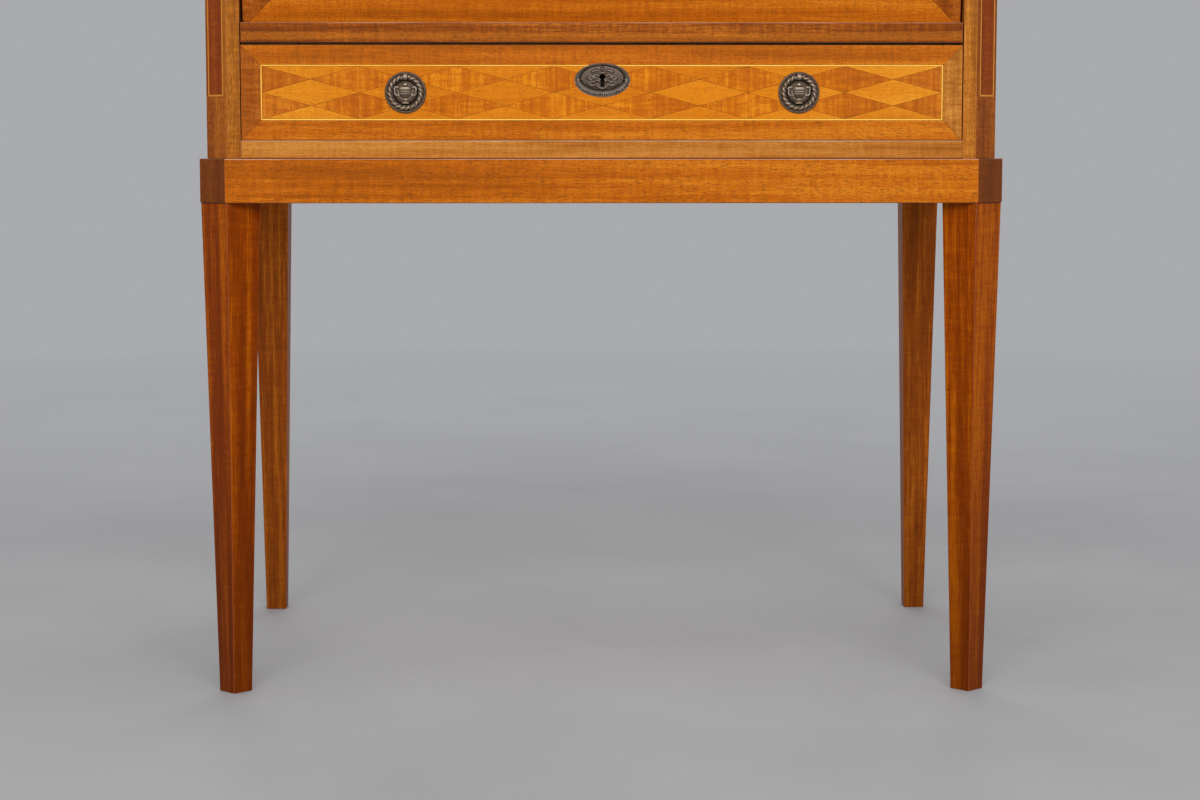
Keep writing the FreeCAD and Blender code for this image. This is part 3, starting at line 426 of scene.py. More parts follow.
class Shape:
    """Points and faces of one new piece."""

    def __init__(self):
        self.points, self.faces, self.slots, self.flat = [], [], [], []

    def add(self, points, faces, slots, flat=None):
        start = len(self.points)
        self.points += points
        self.faces += [tuple(start + i for i in face) for face in faces]
        self.slots += slots
        self.flat += flat or [(0, 0, 0)] * len(points)

    def grid(self, rows, close_v=False, slots=None):
        """Quads between rows of points, each row a closed loop; slots gives each row a material number."""
        count, width = len(rows), len(rows[0])
        faces, numbers = [], []
        for i in range(count if close_v else count - 1):
            for j in range(width):
                k, m = (i + 1) % count, (j + 1) % width
                faces.append((i * width + j, i * width + m, k * width + m, k * width + j))
                numbers.append(slots[i] if slots else 0)
        self.add([p for row in rows for p in row], faces, numbers)

    def piece(self, name, body, slot, materials, smooth=None):
        mesh = bpy.data.meshes.new(name)
        mesh.from_pydata(self.points, [], self.faces)
        for material in materials:
            mesh.materials.append(material)
        mesh.polygons.foreach_set("material_index", self.slots)
        if any(any(place) for place in self.flat):
            layer = mesh.attributes.new("flat", "FLOAT_VECTOR", "POINT")
            layer.data.foreach_set("vector", [value for place in self.flat for value in place])
        mesh.validate()
        if smooth is not None:
            mesh.shade_smooth()
            mesh.set_sharp_from_angle(angle=math.radians(smooth))
        made = bpy.data.objects.new(name, mesh)
        bpy.context.scene.collection.objects.link(made)
        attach(made, body)
        return made


# Veneers: flat outlines in millimetres laid on a face

# Lengths and areas below which points and pieces of an outline are dropped
SAME, SLIVER, TOUCH = 1e-6, 1, 0.1


def corners_of(outline):
    """The outline without repeated points and points on a straight side."""
    outline = [p for p, q in zip(outline, outline[1:] + outline[:1]) if math.dist(p, q) > SAME]
    before, after = outline[-1:] + outline[:-1], outline[1:] + outline[:1]
    return [q for p, q, r in zip(before, outline, after)
            if abs((q[0] - p[0]) * (r[1] - q[1]) - (q[1] - p[1]) * (r[0] - q[0])) > SAME]


def inset(outline, gap):
    """Convex outline, counter-clockwise, moved in by gap on every side."""
    outline = corners_of(outline)
    lines = []
    for (x0, y0), (x1, y1) in zip(outline, outline[1:] + outline[:1]):
        length = math.hypot(x1 - x0, y1 - y0)
        nx, ny = -(y1 - y0) / length, (x1 - x0) / length
        lines.append((nx, ny, nx * x0 + ny * y0 + gap))
    corners = []
    for (a, b, c), (d, e, f) in zip(lines[-1:] + lines[:-1], lines):
        cross = a * e - b * d
        corners.append(((c * e - b * f) / cross, (a * f - c * d) / cross))
    return corners


def clip(outline, axis, limit, keep_above):
    """The part of a convex outline on one side of a line across the given axis."""
    kept = []
    for p, q in zip(outline, outline[1:] + outline[:1]):
        inside_p = (p[axis] >= limit) == keep_above or p[axis] == limit
        inside_q = (q[axis] >= limit) == keep_above or q[axis] == limit
        if inside_p:
            kept.append(p)
        if inside_p != inside_q and p[axis] != limit and q[axis] != limit:
            t = (limit - p[axis]) / (q[axis] - p[axis])
            kept.append(tuple(a + t * (b - a) for a, b in zip(p, q)))
    return kept


def boxed(outline, x0, x1, y0, y1):
    for axis, limit, above in ((0, x0, True), (0, x1, False), (1, y0, True), (1, y1, False)):
        outline = clip(outline, axis, limit, above) if len(outline) > 2 else outline
    return outline


def area(outline):
    return 0.5 * sum(p[0] * q[1] - q[0] * p[1] for p, q in zip(outline, outline[1:] + outline[:1]))


def rectangle(x0, x1, y0, y1):
    return [(x0, y0), (x1, y0), (x1, y1), (x0, y1)]


def lozenges(x0, x1, y0, y1, across, rows):
    """Light diamonds (0) and dark diamonds (1) that fill a rectangle, cut off at its sides."""
    half, rise = (x1 - x0) / across / 2, (y1 - y0) / rows / 2
    cells = []
    for i in range(2 * across + 1):
        for j in range(2 * rows + 1):
            if (i + j) % 2:
                x, y = x0 + i * half, y0 + j * rise
                diamond = [(x - half, y), (x, y - rise), (x + half, y), (x, y + rise)]
                diamond = boxed(diamond, x0, x1, y0, y1)
                if len(diamond) > 2 and area(diamond) > SLIVER:
                    cells.append((diamond, 1 if j % 2 else 0))
    return cells


def frame_of(x0, x1, y0, y1, bottom, side, top):
    """Four mitred bands inside a rectangle: bottom, right, top and left."""
    a, b, c, d = x0 + side, x1 - side, y0 + bottom, y1 - top
    return [[(x0, y0), (x1, y0), (b, c), (a, c)], [(x1, y0), (x1, y1), (b, d), (b, c)],
            [(x1, y1), (x0, y1), (a, d), (b, d)], [(x0, y1), (x0, y0), (a, c), (a, d)]]


def with_window(cells, x0, x1, y0, y1):
    """The same outlines with a rectangle left free."""
    kept = []
    for outline, slot in cells:
        column = clip(clip(outline, 0, x0, True), 0, x1, False)
        parts = [clip(outline, 0, x0, False), clip(outline, 0, x1, True)]
        if len(column) > 2:
            parts += [clip(column, 1, y0, False), clip(column, 1, y1, True)]
        inside = boxed(outline, x0, x1, y0, y1)
        parts = parts if len(inside) > 2 and area(inside) > TOUCH else [outline]
        kept += [(part, slot) for part in parts if len(part) > 2 and area(part) > SLIVER]
    return kept


def veneer(name, cells, lay, body, materials, step=None, mirrored=False, slot_name="mahogany"):
    """Thin pieces, each an outline and a material number, laid by lay(x, y) and sunk into what carries them.

    step cuts them into strips of that height, so that they can follow a curve.
    """
    shape = Shape()
    for outline, slot in cells:
        outline = inset(outline, SEAM / 2)
        strips = [outline]
        if step:
            low, high = min(p[1] for p in outline), max(p[1] for p in outline)
            first, last = math.floor(low / step), math.ceil(high / step)
            strips = [clip(clip(outline, 1, k * step, True), 1, (k + 1) * step, False)
                      for k in range(first, last) if k * step < high]
        found, faces = {}, []
        for strip in strips:
            rounded = list(dict.fromkeys((round(x, 4), round(y, 4)) for x, y in strip))
            if len(rounded) < 3:
                continue
            face = [found.setdefault(p, len(found)) for p in rounded]
            faces.append(face[::-1] if mirrored else face)
        flat = [(x * MM, y * MM, GRAIN_LAYER * (slot + 1)) for x, y in found]
        shape.add([lay(x, y) for x, y in found], faces, [slot] * len(faces), flat)
    made = shape.piece(name, body, slot_name, materials)
    depth = made.modifiers.new("depth", "SOLIDIFY")
    depth.thickness = VENEER_DEPTH * MM
    depth.offset = -1


BAND = wood("band_veneer_along", *GOLDEN, "X", True)
BAND_UP = wood("band_veneer_up", (0.20, 0.039, 0.002), (0.325, 0.069, 0.004), (0.48, 0.135, 0.012), "V", True,
               ripple=0.24)
BAND_UP_PALE = wood("band_veneer_up_pale", (0.34, 0.105, 0.012), (0.54, 0.195, 0.028), (0.74, 0.32, 0.065),
                    "V", True, ripple=0.24)
LIGHT = wood("light_lozenge", (0.52, 0.150, 0.005), (0.67, 0.225, 0.008), (0.78, 0.30, 0.02), "X", True,
             pore=0.4, middle=((0.53, 0.135, 0.002), (0.62, 0.172, 0.003), (0.69, 0.212, 0.005)))
DARK = wood("dark_lozenge", (0.34, 0.074, 0.004), (0.46, 0.112, 0.006), (0.58, 0.165, 0.01), "V", True,
            ripple=0.26, pore=0.4, stripes=220,
            middle=((0.44, 0.096, 0.002), (0.55, 0.134, 0.002), (0.72, 0.23, 0.006)))
STRING = wood("box_string", (0.86, 0.40, 0.045), (0.95, 0.49, 0.065), (0.97, 0.57, 0.10), "X", True,
              ripple=0.05, pore=0.05)
STRING_UP = wood("box_string_up", (0.54, 0.19, 0.018), (0.66, 0.25, 0.03), (0.76, 0.34, 0.055), "V", True,
                 ripple=0.05, pore=0.2)
GLUE = wood("seam_line", (0.060, 0.014, 0.002), (0.090, 0.022, 0.003), (0.13, 0.034, 0.005), "X", True,
            ripple=0.05, pore=0.2)
INLAY = wood("stile_inlay", (0.22, 0.033, 0.001), (0.31, 0.054, 0.001), (0.42, 0.094, 0.004), "V", True,
             ripple=0.2)
# Wood for the cant's foot and outer margin: darker and redder, which also paints the shade of the angled face
STILE_FOOT = wood("stile_foot", (0.17, 0.034, 0.002), (0.29, 0.063, 0.003), (0.44, 0.122, 0.009), "V", True)
STILE_MARGIN = wood("stile_margin", (0.25, 0.054, 0.003), (0.35, 0.088, 0.005), (0.46, 0.14, 0.012), "V",
                    True)

# Panels of lozenges: widths of the bands and strings, the margin kept from an edge, and the room for a key
DRAWER_BAND, STRING_WIDTH = 21.6, 1.65
CYLINDER_BAND, CYLINDER_TOP_BAND = 36.0, 54.0
ACROSS, DRAWER_ROWS, CYLINDER_ROWS = 7, 2, 7
INSET, GLUE_INSET, CURVE_GLUE_INSET = 0.3, 1, 1.5
KEY_WINDOW = (-5, 5, -9, 8)


def framed_panel(x0, x1, y0, y1, bands, rows):
    """Bands (2 along, 3 and 4 up), strings (5) and lozenges (0 and 1) of a panel."""
    bottom, side, top = bands
    cells = list(zip(frame_of(x0, x1, y0, y1, bottom, side, top), (2, 4, 2, 3)))
    x0, x1, y0, y1 = x0 + side, x1 - side, y0 + bottom, y1 - top
    w = STRING_WIDTH
    cells += [(line, 5) for line in frame_of(x0, x1, y0, y1, w, w, w)]
    return cells + lozenges(x0 + w, x1 - w, y0 + w, y1 - w, ACROSS, rows)


def key_window(cells, height):
    x0, x1, low, high = KEY_WINDOW
    return with_window(cells, x0, x1, height + low, height + high)


def on_drawer(out):
    return lambda x, z: at(x, DRAWER_FACE - out, z)


panel = framed_panel(-DRAWER_HALF + INSET, DRAWER_HALF - INSET, DRAWER_LOW + INSET, DRAWER_HIGH - INSET,
                     [DRAWER_BAND - INSET] * 3, DRAWER_ROWS)
veneer("drawer_veneer", key_window(panel, DRAWER_LOCK_Z), on_drawer(PROUD), "main_drawer",
       [LIGHT, DARK, BAND, BAND_UP, BAND_UP_PALE, STRING])
half = DRAWER_HALF - GLUE_INSET
seams = rectangle(-half, half, DRAWER_LOW + GLUE_INSET, DRAWER_HIGH - GLUE_INSET)
veneer("drawer_seams", key_window([(seams, 0)], DRAWER_LOCK_Z), on_drawer(GLUE_PROUD), "main_drawer", [GLUE])

# Cylinder: the same panel bent round the shell; y is measured up the curve from the lower edge
SHELL_LOW_ANGLE = math.asin((SHELL_LOW_Z - PIVOT_Z) / SHELL_RADIUS)
CURVE = SHELL_RADIUS * (SHELL_TOP_ANGLE - SHELL_LOW_ANGLE)
CURVE_STEP = 6


def on_curve(out):
    def lay(x, y):
        radius, angle = SHELL_RADIUS + out, SHELL_LOW_ANGLE + y / SHELL_RADIUS
        return at(x, PIVOT_DEPTH - radius * math.cos(angle), PIVOT_Z + radius * math.sin(angle))
    return lay


half = SHELL_HALF - INSET
panel = framed_panel(-half, half, INSET, CURVE - INSET, [CYLINDER_BAND, CYLINDER_BAND, CYLINDER_TOP_BAND],
                     CYLINDER_ROWS)
key_height = -SHELL_RADIUS * SHELL_LOW_ANGLE
veneer("cylinder_veneer", key_window(panel, key_height), on_curve(PROUD), "cylinder",
       [LIGHT, DARK, BAND, BAND_UP, BAND_UP, STRING], CURVE_STEP)
half -= GLUE_INSET
seams = rectangle(-half, half, CURVE_GLUE_INSET, CURVE - CURVE_GLUE_INSET)
veneer("cylinder_seams", key_window([(seams, 0)], key_height), on_curve(GLUE_PROUD), "cylinder", [GLUE],
       CURVE_STEP)

# Margins and widths of the tooled gold lines on the leather and the light strings on the small drawers
TOOLED_LINES, TOOLED_PROUD = ((9, 1.4), (12.5, 0.6)), 0.03
SMALL_STRING = (8, 1.3)


def box_of(name):
    """Two opposite corners of a piece in millimetres: x, depth from the middle, height."""
    corners = [nodes[name].matrix_world @ Vector(corner) / MM for corner in nodes[name].bound_box]
    return [[pick(corner[axis] for corner in corners) for axis in range(3)] for pick in (min, max)]


def border(x0, x1, y0, y1, margin, width):
    lines = frame_of(x0 + margin, x1 - margin, y0 + margin, y1 - margin, width, width, width)
    return [(line, 0) for line in lines]


(left_x, near_y, _), (right_x, far_y, leather_top) = box_of("leather_panel")
tooled = [cell for line in TOOLED_LINES for cell in border(left_x, right_x, near_y, far_y, *line)]
veneer("tooled_border", tooled, lambda x, y: (x * MM, y * MM, (leather_top + TOOLED_PROUD) * MM),
       "writing_slide", [tooled_gold], slot_name="writing_leather")
for word in ("left", "right"):
    (left_x, near_y, low_z), (right_x, _, high_z) = box_of(f"{word}_small_front")
    veneer(f"{word}_small_string", border(left_x, right_x, low_z, high_z, *SMALL_STRING),
           lambda x, z: (x * MM, (near_y - PROUD) * MM, z * MM), f"{word}_small_drawer", [STRING])

# Canted stiles: a dark strip between light strings, which follows the sweep of the case
CANT_WIDTH = CANT * math.sqrt(2)
STRIP_INNER, STRIP_OUTER = 6.2, CANT_WIDTH - 3.8
STRIP_LOW, STRIP_TURN = 674.0, math.radians(66)
STRIP_STRING, STRIP_STEP = 1.8, 7
FOOT_LOW, FOOT_HIGH, FOOT_GAP = 605.6 - STRIP_LOW, -0.1, 0.4


def on_cant(side):
    """Lays (distance from the front edge, height along the path) on the left (-1) or right (1) cant."""
    def lay(t, y):
        out = PROUD / math.sqrt(2)
        x = side * (CANT_X + t / math.sqrt(2) + out)
        radius = SWEEP_RADIUS - t / math.sqrt(2) + out
        rise = STRIP_LOW + y
        if rise <= PIVOT_Z:
            return at(x, PIVOT_DEPTH - radius, rise)
        angle = (rise - PIVOT_Z) / SWEEP_RADIUS
        return at(x, PIVOT_DEPTH - radius * math.cos(angle), PIVOT_Z + radius * math.sin(angle))
    return lay


length = PIVOT_Z - STRIP_LOW + SWEEP_RADIUS * STRIP_TURN
w = STRIP_STRING
strip = [(line, 1) for line in frame_of(STRIP_INNER, STRIP_OUTER, 0, length, w, w, w)]
strip.append((rectangle(STRIP_INNER + w, STRIP_OUTER - w, w, length - w), 0))
strip.append((rectangle(FOOT_GAP, CANT_WIDTH - FOOT_GAP, FOOT_LOW, FOOT_HIGH), 2))
strip.append((rectangle(FOOT_GAP, STRIP_INNER, 0, length), 3))
strip.append((rectangle(STRIP_OUTER, CANT_WIDTH - FOOT_GAP, 0, length), 2))
for side, word in ((-1, "left"), (1, "right")):
    veneer(f"{word}_stile_inlay", strip, on_cant(side), "desk", [INLAY, STRING_UP, STILE_FOOT, STILE_MARGIN],
           STRIP_STEP, mirrored=side < 0)


# Cast pulls and escutcheons: points (a, b, h) to the right, up and out of a face

# Radius and height of the plate's ground and of its rim, back and stud
GROUND = [(0, 4.2), (6, 4.2), (10.8, 4.1), (12.2, 3.9), (12.9, 3.4), (13.3, 2.6), (13.6, 1.7), (14.2, 1.2),
          (19.6, 1.2), (20.1, 1.4)]
RIM = [(20.4, 2.3), (20.8, 2.9), (21.4, 3.1), (22.1, 2.8), (22.7, 2.1), (23.0, 1.2), (23.0, -1.0),
       (3.0, -1.0), (2.5, -1.4), (2.5, -13.0), (0, -13.0)]
# Height and half-width of the urn from its foot up, and the brass above: 0 plain, 1 dark, 2 bright
# The dark rows paint shade between the bands as well as patina, and the bright rows paint highlights on the
# bands as well as wear
URN = [(-12.0, 0.0, 0), (-12.0, 4.9, 0), (-10.9, 4.6, 0), (-9.9, 3.6, 1), (-9.0, 2.6, 1), (-8.2, 2.4, 2),
       (-7.9, 2.9, 2), (-7.0, 2.9, 1), (-6.6, 2.3, 0), (-6.0, 3.3, 0), (-4.8, 5.0, 0), (-3.4, 6.2, 0),
       (-2.2, 6.7, 1), (-1.9, 6.1, 2), (-1.6, 6.6, 2), (-0.6, 6.7, 1), (-0.3, 6.0, 1), (0.4, 6.1, 2),
       (0.7, 7.1, 2), (1.7, 7.2, 1), (2.0, 6.3, 1), (3.1, 6.4, 2), (3.4, 7.6, 2), (5.3, 8.0, 2),
       (5.9, 7.2, 0), (6.2, 5.2, 0), (7.0, 4.0, 0), (7.6, 2.4, 0), (7.9, 1.3, 2), (8.5, 1.9, 2),
       (9.4, 1.6, 2), (10.2, 0.0, 2)]
URN_BASE, URN_BULGE = 4.2, 0.40
HANDLE = [(7.2, 4.8), (9.4, 6.0), (11.2, 5.6), (12.0, 3.6), (11.6, 1.0), (11.8, -1.0), (10.6, -2.6),
          (8.4, -3.0), (6.0, -2.6)]
HANDLE_HEIGHT, HANDLE_RADIUS = 4.8, 0.85
CURVE_POINTS = 5
RING_RADIUS, RING_WIRE, RING_PLANE = 17.2, 2.8, 4.7
# Twists and strands of the rope, how deep its grooves go, and where it is thin, in degrees from the eye
ROPE_TURNS, ROPE_STRANDS = 20, -2
ROPE_CORE, NECK_CORE = 0.66, 0.62
NECK_END, NECK_SLOPE = 7, 6
EYE_RADIUS, EYE_WIRE, EYE_HALF, EYE_DROP = 2.9, 0.8, 2.3, 0.6
EYE_ANGLES = range(-40, 221, 20)
# Points round each loop of the meshes, points of the rope's path in a twist, and angles shaded smooth
PLATE_SIDES, URN_SIDES, HANDLE_SIDES, EYE_SIDES, WIRE_SIDES = 72, 40, 8, 10, 20
TWIST_POINTS = 12
RING_SMOOTH, PLATE_SMOOTH, OVAL_SMOOTH = 60, 35, 50


def turns(count):
    return [2 * math.pi * i / count for i in range(count)]


def smooth_path(points):
    """Points along a curve that runs through the given ones."""
    padded = [points[0], *points, points[-1]]
    path = []
    for p, q, r, s in zip(padded, padded[1:], padded[2:], padded[3:]):
        for k in range(CURVE_POINTS):
            t = k / CURVE_POINTS
            path.append(tuple(0.5 * (2 * b + (c - a) * t + (2 * a - 5 * b + 4 * c - d) * t * t
                                     + (3 * b - a - 3 * c + d) * t ** 3) for a, b, c, d in zip(p, q, r, s)))
    return [*path, points[-1]]


def tube(shape, path, radius, sides, put, wide=None):
    """Closed bar along a path; wide gives its half-width along the first axis."""
    rows = []
    for i, point in enumerate(path):
        ahead = (path[min(i + 1, len(path) - 1)] - path[max(i - 1, 0)]).normalized()
        first = Vector((1, 0, 0)) if wide else ahead.cross(Vector((0, 0, 1))).normalized()
        second = ahead.cross(first)
        for scale in ((0.0, 1.0) if i == 0 else (1.0, 0.0) if i == len(path) - 1 else (1.0,)):
            rows.append([put(*(point + scale * ((wide or radius) * math.cos(t) * first
                                                + radius * math.sin(t) * second))) for t in turns(sides)])
    shape.grid(rows)


def urn_point(put, t, height, half_width):
    """Point round the urn, which is flattened towards the plate."""
    out = math.copysign(abs(math.sin(t)) ** 0.5, math.sin(t))
    return put(half_width * math.cos(t), height, URN_BASE + URN_BULGE * half_width * out)


def pull_plate(shape, put):
    """Rimmed disc with a raised medallion, an urn in relief and the eye that the ring hangs from."""
    rows = [[put(r * math.cos(t), r * math.sin(t), h) for t in turns(PLATE_SIDES)] for r, h in GROUND + RIM]
    shape.grid(rows, slots=[1] * (len(GROUND) - 1) + [3] * len(RIM))
    rows = [[urn_point(put, t, b, r) for t in turns(URN_SIDES)] for b, r, _ in URN]
    shape.grid(rows, slots=[number for _, _, number in URN])
    for side in (-1, 1):
        path = [Vector((side * a, b, HANDLE_HEIGHT)) for a, b in smooth_path(HANDLE)]
        tube(shape, path, HANDLE_RADIUS, HANDLE_SIDES, put)
    eye_height = RING_PLANE - EYE_DROP
    eye = [Vector((0, RING_RADIUS + EYE_RADIUS * math.cos(t), eye_height + EYE_RADIUS * math.sin(t)))
           for t in map(math.radians, EYE_ANGLES)]
    tube(shape, eye, EYE_WIRE, EYE_SIDES, put, EYE_HALF)


def rope_ring(shape, put):
    """Ring of twisted strands that hangs in the groove of its plate, thinner where it passes the eye."""
    rows = []
    for t in turns(ROPE_TURNS * TWIST_POINTS):
        row = []
        for s in turns(WIRE_SIDES):
            lobe = abs(math.cos((ROPE_STRANDS * s - ROPE_TURNS * t) / 2))
            neck = min(max((math.degrees(min(t, 2 * math.pi - t)) - NECK_END) / NECK_SLOPE, 0), 1)
            wire = RING_WIRE * (ROPE_CORE + (1 - ROPE_CORE) * lobe) * (NECK_CORE + (1 - NECK_CORE) * neck)
            reach = RING_RADIUS + wire * math.cos(s)
            row.append(put(reach * math.sin(t), reach * math.cos(t), RING_PLANE + wire * math.sin(s)))
        rows.append(row)
    shape.grid(rows, close_v=True)


def on_face(x, z, face):
    return lambda a, b, h: at(x + a, face - h, z + b)


PULLS = {"drawer": ("main_drawer", DRAWER_PULL_Z, DRAWER_FACE),
         "cylinder": ("cylinder", PIVOT_Z, CYLINDER_FACE)}
for owner, (body, z, face) in PULLS.items():
    plates = Shape()
    for side, word in ((-1, "left"), (1, "right")):
        put = on_face(side * PULL_X, z, face)
        pull_plate(plates, put)
        rope = Shape()
        rope_ring(rope, put)
        ring = rope.piece(f"{owner}_{word}_rope_ring", f"{owner}_{word}_ring", "aged_brass", [aged_brass],
                          RING_SMOOTH)
        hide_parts(f"{owner}_{word}_ring")
    cast = plates.piece(f"{owner}_urn_plates", body, "aged_brass",
                        [aged_brass, ground_brass, rubbed_highlight_brass, rim_brass], PLATE_SMOOTH)
    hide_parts(f"{owner}_pull_plates")

# Escutcheons: the oval, its domed field, the keyhole and the lines of the ribbons on the right half
OVAL_A, OVAL_B = 30.75, 18.75
FIELD_A, FIELD_B, FIELD_RISE = 24.0, 13.2, 2.4
FIELD_EDGE, FIELD_DOME = 1.1, 0.9
KEY_RADIUS, KEY_SLOT, KEY_HALF, KEY_RISE = 3.4, 11.2, 2.3, 3.5
KEY_NECK = math.sqrt(KEY_RADIUS ** 2 - KEY_HALF ** 2)
KEY_MIDDLE = KEY_RISE - KEY_NECK
RIBBONS = [
    [(4.6, 4.6), (6.8, 6.0), (9.6, 5.0), (9.2, 2.6), (7.2, 2.6)],
    [(10.6, 3.4), (13.0, 4.6), (15.4, 2.8), (13.6, 0.6), (11.6, 1.2)],
    [(3.6, -1.4), (6.0, -0.2), (9.0, -2.2), (12.4, -1.6), (16.2, -3.4)],
    [(0.0, -9.4), (3.6, -8.2), (6.4, -5.6)],
    [(8.2, -5.6), (11.4, -6.0), (13.6, -4.8)],
    [(0.0, 8.2), (2.6, 7.6)],
    [(0.0, 13.0), (0.8, 12.2)],
    [(5.4, 10.6), (8.6, 10.2), (11.2, 8.8)],
    [(24.6, 0.4), (25.6, 0.0)],
]
RIBBON_LINES = [smooth_path(line) for line in RIBBONS]
RIBBON_HEIGHT, RIBBON_WIDTH = 1.2, 1.35
# The rim from the field (0) to the edge (1): groove, smooth roll and beads, and the steps of its mesh
GROOVE_HEIGHT, GROOVE_END, BEADS_START = 0.25, 0.19, 0.55
ROLL_HEIGHT, ROLL_LENGTH = 2.0, 0.90
BEADS, BEAD_POINTS, BEAD_MEAN, BEAD_DEPTH = 66, 5, 0.60, 0.40
FIELD_STEPS, GROOVE_STEPS, RIM_STEPS = 26, 3, 16
OVAL_BACK = -0.6
TINY = 1e-6


def ribbon_height(x, z):
    near = min(math.hypot(abs(x) - a, z - b) for line in RIBBON_LINES for a, b in line)
    return RIBBON_HEIGHT * math.exp(-(near / RIBBON_WIDTH) ** 2)


def oval_height(x, z):
    """Domed field with ribbons, a groove round it and a broad beaded rim."""
    field = math.hypot(x / FIELD_A, (z - FIELD_RISE) / FIELD_B)
    if field < 1:
        return FIELD_EDGE + FIELD_DOME * (1 - field ** 2) + ribbon_height(x, z)
    inner = (field - 1) * FIELD_B
    outer = (1 - min(math.hypot(x / OVAL_A, z / OVAL_B), 1)) * OVAL_B
    across = inner / (inner + outer + TINY)
    if across < GROOVE_END:
        return GROOVE_HEIGHT + ribbon_height(x, z)
    turn = math.atan2(z / OVAL_B, x / OVAL_A)
    bead = BEAD_MEAN + BEAD_DEPTH * math.cos(BEADS * turn) if across > BEADS_START else 1.0
    roll = ROLL_HEIGHT * math.sin(math.pi * (across - GROOVE_END) / ROLL_LENGTH)
    return GROOVE_HEIGHT + bead * roll + ribbon_height(x, z)


def reach_of(dx, dz, a, b, rise):
    """Distance from the middle of the keyhole to an ellipse whose centre is at the given height."""
    low = KEY_MIDDLE - rise
    p, q, r = (dx / a) ** 2 + (dz / b) ** 2, low * dz / b ** 2, (low / b) ** 2 - 1
    return (math.sqrt(q * q - p * r) - q) / p


def key_reach(dx, dz):
    """Distance from the middle of the keyhole to its edge."""
    if dz >= 0:
        return KEY_NECK * dz + math.sqrt(KEY_RADIUS ** 2 - (KEY_NECK * dx) ** 2)
    return min(KEY_HALF / max(abs(dx), TINY), (KEY_SLOT - KEY_NECK) / max(-dz, TINY))


def escutcheon(name, body, replaced, z, face):
    """Oval plate with a beaded rim, ribbon relief and an open keyhole."""
    put = on_face(0, z, face)
    columns, relief = [], []
    for t in turns(BEADS * BEAD_POINTS):
        dx, dz = math.cos(t), math.sin(t)
        start = key_reach(dx, dz)
        edge, end = reach_of(dx, dz, FIELD_A, FIELD_B, FIELD_RISE), reach_of(dx, dz, OVAL_A, OVAL_B, 0)
        radii = [start + (edge - start) * i / FIELD_STEPS for i in range(FIELD_STEPS)]
        radii += [edge + (end - edge) * i / RIM_STEPS for i in range(RIM_STEPS + 1)]
        spots = [(dx * r, dz * r + KEY_MIDDLE) for r in radii]
        column = [put(x, y, oval_height(x, y)) for x, y in spots]
        columns.append([put(*spots[0], OVAL_BACK), *column, put(*spots[-1], OVAL_BACK)])
        relief.append([0.0, *(ribbon_height(x, y) for x, y in spots), 0.0])
    shape = Shape()
    slots = [0] * FIELD_STEPS + [1] * (GROOVE_STEPS + 1) + [2] * (RIM_STEPS - GROOVE_STEPS + 2)
    shape.grid(list(zip(*columns)), close_v=True, slots=slots)
    shape.flat = [(value, 0, 0) for row in zip(*relief) for value in row]
    shape.faces = [corners[::-1] for corners in shape.faces]
    made = shape.piece(name, body, "aged_brass", [oval_brass, groove_brass, oval_rim], OVAL_SMOOTH)
    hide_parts(replaced)


escutcheon("drawer_oval", "main_drawer", "drawer_escutcheon", DRAWER_LOCK_Z, DRAWER_FACE)
escutcheon("cylinder_oval", "cylinder", "cylinder_escutcheon", PIVOT_Z, CYLINDER_FACE)


# Stage: pale floor that fades into the background, soft lamps and the photograph's camera
BACKGROUND = (0.40, 0.405, 0.42)
FLOOR_DARK, FLOOR_LIGHT = (0.44, 0.445, 0.455), (0.49, 0.495, 0.505)
FLOOR_RADIUS, FLOOR_SIDES = 9.0, 96
FLOOR_FADE = (1.2, 4.5)
# Place, aim, size, power and colour of each lamp
LAMPS = {
    "front_softbox": ((0, -4.0, 2.3), (0, -0.2, 0.7), (3.2, 1.6), 118, (1.0, 0.99, 0.97)),
    "left_strip": ((-1.7, -3.4, 0.9), (-0.2, -0.2, 0.7), (0.5, 1.6), 9, (1.0, 1.0, 1.0)),
    "right_strip": ((1.7, -3.4, 0.9), (0.2, -0.2, 0.7), (0.5, 1.6), 9, (1.0, 1.0, 1.0)),
    "back_softbox": ((0, 3.6, 2.6), (0, 0.2, 0.7), (3.0, 1.4), 40, (1.0, 0.99, 0.98)),
}
SENSOR_WIDTH, LENS = 36.0, 78.18
CAMERA_PLACE = (-0.049, -3.1875, 0.641)
CAMERA_TURN = (math.radians(84.003), 0, math.radians(-0.913))


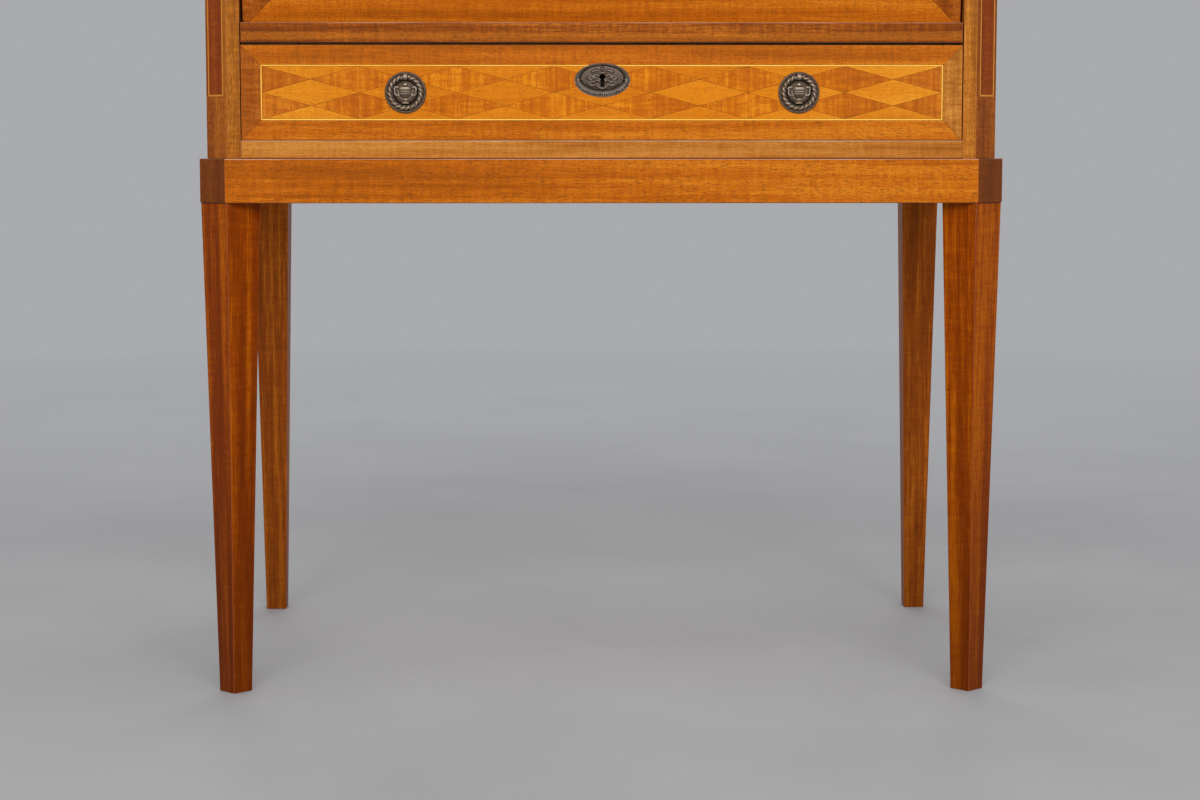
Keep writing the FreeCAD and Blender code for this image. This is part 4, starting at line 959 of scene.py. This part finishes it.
def make_floor():
    g = Graph("pale_floor")
    place = g.place()
    colour = g.ramp(g.noise(place, (1.5, 1.5, 1.5), 5, 0.6), (0.35, 0.65), (FLOOR_DARK, FLOOR_LIGHT))
    inputs = {"Base Color": colour, "Roughness": 0.75, "Specular IOR Level": 0.2}
    near = g.add("ShaderNodeBsdfPrincipled", inputs).outputs[0]
    far = g.add("ShaderNodeEmission", {"Color": (*BACKGROUND, 1), "Strength": 1.0}).outputs[0]
    reach = g.add("ShaderNodeVectorMath", {0: place}, operation="LENGTH").outputs["Value"]
    both = g.add("ShaderNodeMixShader", {0: g.spread(reach, *FLOOR_FADE), 1: near, 2: far})
    g.add("ShaderNodeOutputMaterial", {"Surface": both.outputs[0]})
    mesh = bpy.data.meshes.new("floor")
    circle = [(FLOOR_RADIUS * math.cos(t), FLOOR_RADIUS * math.sin(t), 0) for t in turns(FLOOR_SIDES)]
    mesh.from_pydata(circle, [], [tuple(range(FLOOR_SIDES))])
    mesh.materials.append(g.material)
    floor = bpy.data.objects.new("floor", mesh)
    bpy.context.scene.collection.objects.link(floor)


def lamp(name, place, aim, size, power, colour):
    light = bpy.data.lights.new(name, "AREA")
    light.shape = "RECTANGLE"
    light.size, light.size_y = size
    light.energy = power
    light.color = colour
    made = bpy.data.objects.new(name, light)
    made.location = place
    made.rotation_euler = (Vector(aim) - Vector(place)).to_track_quat("-Z", "Y").to_euler()
    made.visible_camera = False
    bpy.context.scene.collection.objects.link(made)


make_floor()
for name, settings in LAMPS.items():
    lamp(name, *settings)

world = bpy.data.worlds.new("studio")
world.use_nodes = True
background = world.node_tree.nodes["Background"]
background.inputs["Color"].default_value = (*BACKGROUND, 1)
background.inputs["Strength"].default_value = 1.0
bpy.context.scene.world = world

camera_data = bpy.data.cameras.new("camera")
camera_data.sensor_fit = "HORIZONTAL"
camera_data.sensor_width = SENSOR_WIDTH
camera_data.lens = LENS
camera = bpy.data.objects.new("camera", camera_data)
camera.location = CAMERA_PLACE
camera.rotation_euler = CAMERA_TURN
bpy.context.scene.collection.objects.link(camera)
bpy.context.scene.camera = camera
bpy.context.scene.view_settings.view_transform = "Standard"
